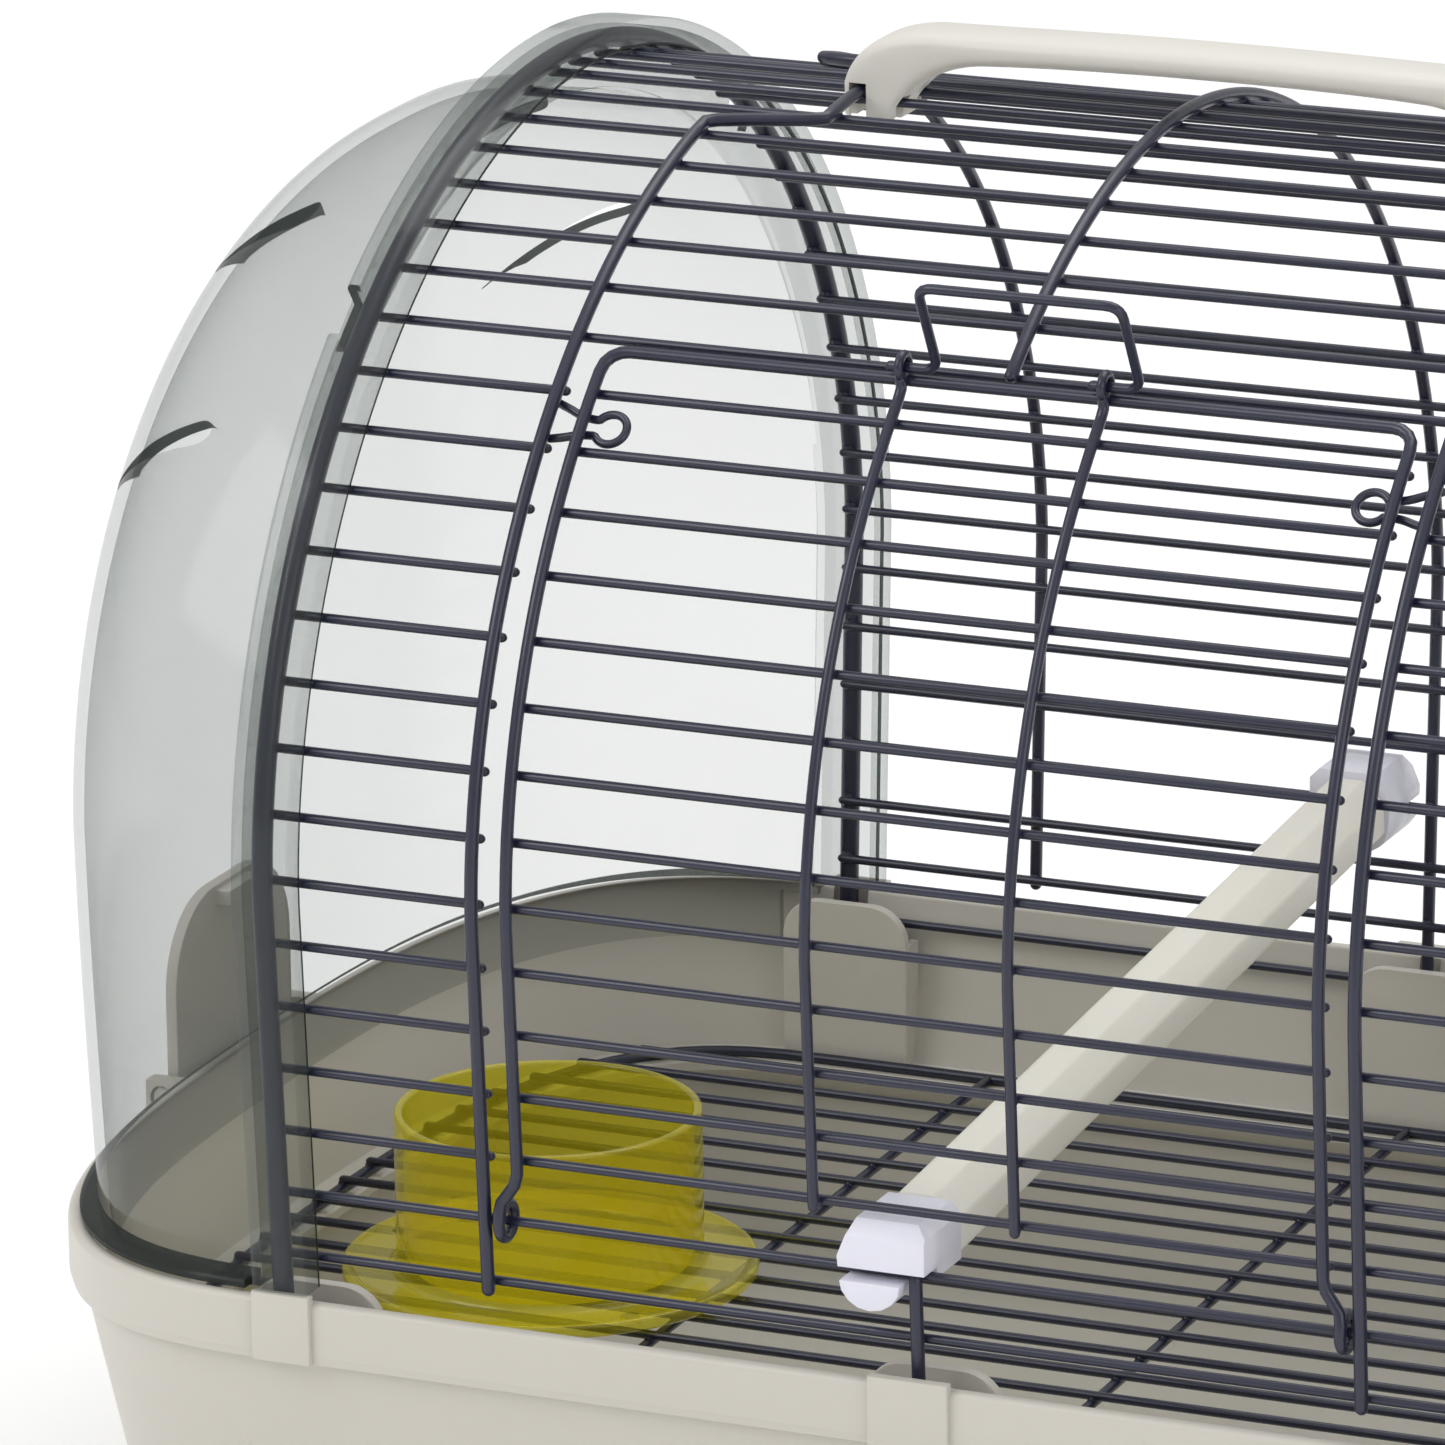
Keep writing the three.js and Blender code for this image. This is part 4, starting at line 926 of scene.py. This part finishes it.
WIRE = coated_wire()
TRAY = plastic("tray_plastic", srgb(203, 199, 190), srgb(197, 193, 183), 0.42, 0.05, 0.05)
HANDLE = plastic("handle_plastic", srgb(216, 213, 206), srgb(208, 205, 197), 0.42, 0.06, 0.05)
CREAM = plastic("perch_plastic", srgb(232, 229, 219), srgb(226, 223, 211), 0.5, 0.05, 0.08)
WHITE = plastic("clip_plastic", srgb(228, 228, 238), srgb(221, 221, 233), 0.35, 0.03, 0.08)
SMOKE = clear_plastic(
    "smoke_plastic", (0.80, 0.81, 0.805), (0.42, 0.44, 0.43), srgb(188, 192, 190), 0.05, 0.12)
SMOKE_THICK = clear_plastic(
    "smoke_plastic_thick", (0.73, 0.75, 0.74), (0.20, 0.225, 0.215), srgb(128, 134, 131), 0.07, 0.12)
# Painted shade: a near-black smoke for the flange, the lip's roll and the cut sides of slots and notches,
# standing in for the dark lines of shade along the dome's edges and gaps.
SMOKE_PAINTED_SHADE = clear_plastic(
    "smoke_plastic_painted_edge_shade", (0.12, 0.135, 0.13), (0.04, 0.05, 0.047), srgb(44, 50, 48), 0.5, 0.2, 0.4)
YELLOW = clear_plastic(
    "cup_plastic", (0.93, 0.86, 0.12), (0.74, 0.64, 0.02), srgb(228, 214, 42), 0.30, 0.08, 0.9)


# ---- The pieces ----

for name, shells, body, node in (
        ("wire_barrel_wires", barrel_shells(), "cage_top", "wire_barrel"),
        ("door_wires", door_shells(), "door_panel", "door"),
        ("door_bail_wire", bail_shells(), "bail", "door_bail"),
        ("door_catch_left_wire", catch_shells(-1), "cage_top", "door_catch_left"),
        ("door_catch_right_wire", catch_shells(1), "cage_top", "door_catch_right"),
        ("floor_grid_wires", grid_shells(), "base", "floor_grid")):
    piece(name, shells, body, WIRE, 50, node)
dome(-1)
dome(1)
tray(TRAY)
cup(YELLOW)
handle(HANDLE)

eased_copy("perch_bar", 1.1, 3, CREAM, "cage_top")
eased_copy("perch_clip_front", 0.4, 2, WHITE, "cage_top")
eased_copy("perch_clip_back", 0.4, 2, WHITE, "cage_top")
eased_copy("end_clip_left", 0.5, 3, TRAY, "clip_left")
eased_copy("end_clip_right", 0.5, 3, TRAY, "clip_right")


# ---- Stage, light and camera ----

def stage():
    """A pale floor."""
    size = 6.0
    mesh = bpy.data.meshes.new("floor")
    corners = [(-size, -size, 0), (size, -size, 0), (size, size, 0), (-size, size, 0)]
    mesh.from_pydata(corners, [], [(0, 1, 2, 3)])
    obj = bpy.data.objects.new("floor", mesh)
    bpy.context.scene.collection.objects.link(obj)
    nodes = Nodes(bpy.data.materials.new("pale_floor"))
    color = nodes.between(nodes.noise(6.0, 3.0), (0.93, 0.93, 0.93, 1), (0.95, 0.95, 0.95, 1))
    mesh.materials.append(nodes.out(nodes.add("ShaderNodeBsdfDiffuse", {"Color": color})))


def area_light(name, place, target, size, power):
    light = bpy.data.lights.new(name, "AREA")
    light.shape, light.size, light.size_y = "RECTANGLE", size[0], size[1]
    light.energy = power
    obj = bpy.data.objects.new(name, light)
    obj.location = place
    obj.rotation_euler = (Vector(target) - Vector(place)).to_track_quat("-Z", "Y").to_euler()
    bpy.context.scene.collection.objects.link(obj)


def world():
    """White to the camera; a softer dome of light, brighter above, for everything else."""
    nodes = Nodes(bpy.data.worlds.new("studio"))
    place = nodes.add("ShaderNodeTexCoord").outputs["Generated"]
    up = nodes.add("ShaderNodeSeparateXYZ", {0: place}).outputs["Z"]
    limits = {"From Min": -0.3, "From Max": 1.0, "To Min": 0.42, "To Max": 0.80}
    strength = nodes.add("ShaderNodeMapRange", {"Value": up, **limits}).outputs["Result"]
    soft = nodes.add("ShaderNodeBackground", {"Color": OPAQUE_WHITE, "Strength": strength})
    seen = nodes.add("ShaderNodeBackground", {"Color": OPAQUE_WHITE, "Strength": 1.0})
    by_camera = nodes.add("ShaderNodeLightPath").outputs["Is Camera Ray"]
    made = nodes.mix_shaders(by_camera, soft, seen)
    bpy.context.scene.world = nodes.out(made, "ShaderNodeOutputWorld")


def camera():
    """A long lens, a little above the cage and to its right, rolled by under a degree."""
    azimuth, elevation, roll = math.radians(23.93), math.radians(16.615), math.radians(-0.776)
    distance, target = 2.170, Vector((-0.09777, 0, 0.15788))
    level, climb = math.cos(elevation), math.sin(elevation)
    right = Vector((math.cos(azimuth), math.sin(azimuth), 0))
    ahead = Vector((-math.sin(azimuth) * level, math.cos(azimuth) * level, -climb))
    up = right.cross(ahead)
    turned_right = right * math.cos(roll) + up * math.sin(roll)
    turned_up = up * math.cos(roll) - right * math.sin(roll)
    data = bpy.data.cameras.new("camera")
    data.sensor_width, data.lens = 36.0, 275.5
    data.clip_start, data.clip_end = 0.05, 50
    obj = bpy.data.objects.new("camera", data)
    matrix = Matrix((turned_right, turned_up, -ahead)).transposed().to_4x4()
    matrix.translation = target - ahead * distance
    obj.matrix_world = matrix
    bpy.context.scene.collection.objects.link(obj)
    bpy.context.scene.camera = obj


stage()
world()
area_light("key", (-1.9, -1.9, 2.3), (0, 0, 0.12), (1.8, 1.8), 36)
area_light("fill", (2.4, -1.4, 1.0), (0, 0, 0.15), (1.6, 1.4), 12)
area_light("top", (0.2, 0.9, 2.6), (0, 0, 0.1), (2.2, 1.6), 26)
camera()
bpy.context.scene.view_settings.view_transform = "Standard"
bpy.context.scene.cycles.transparent_max_bounces = 32  # walls behind walls
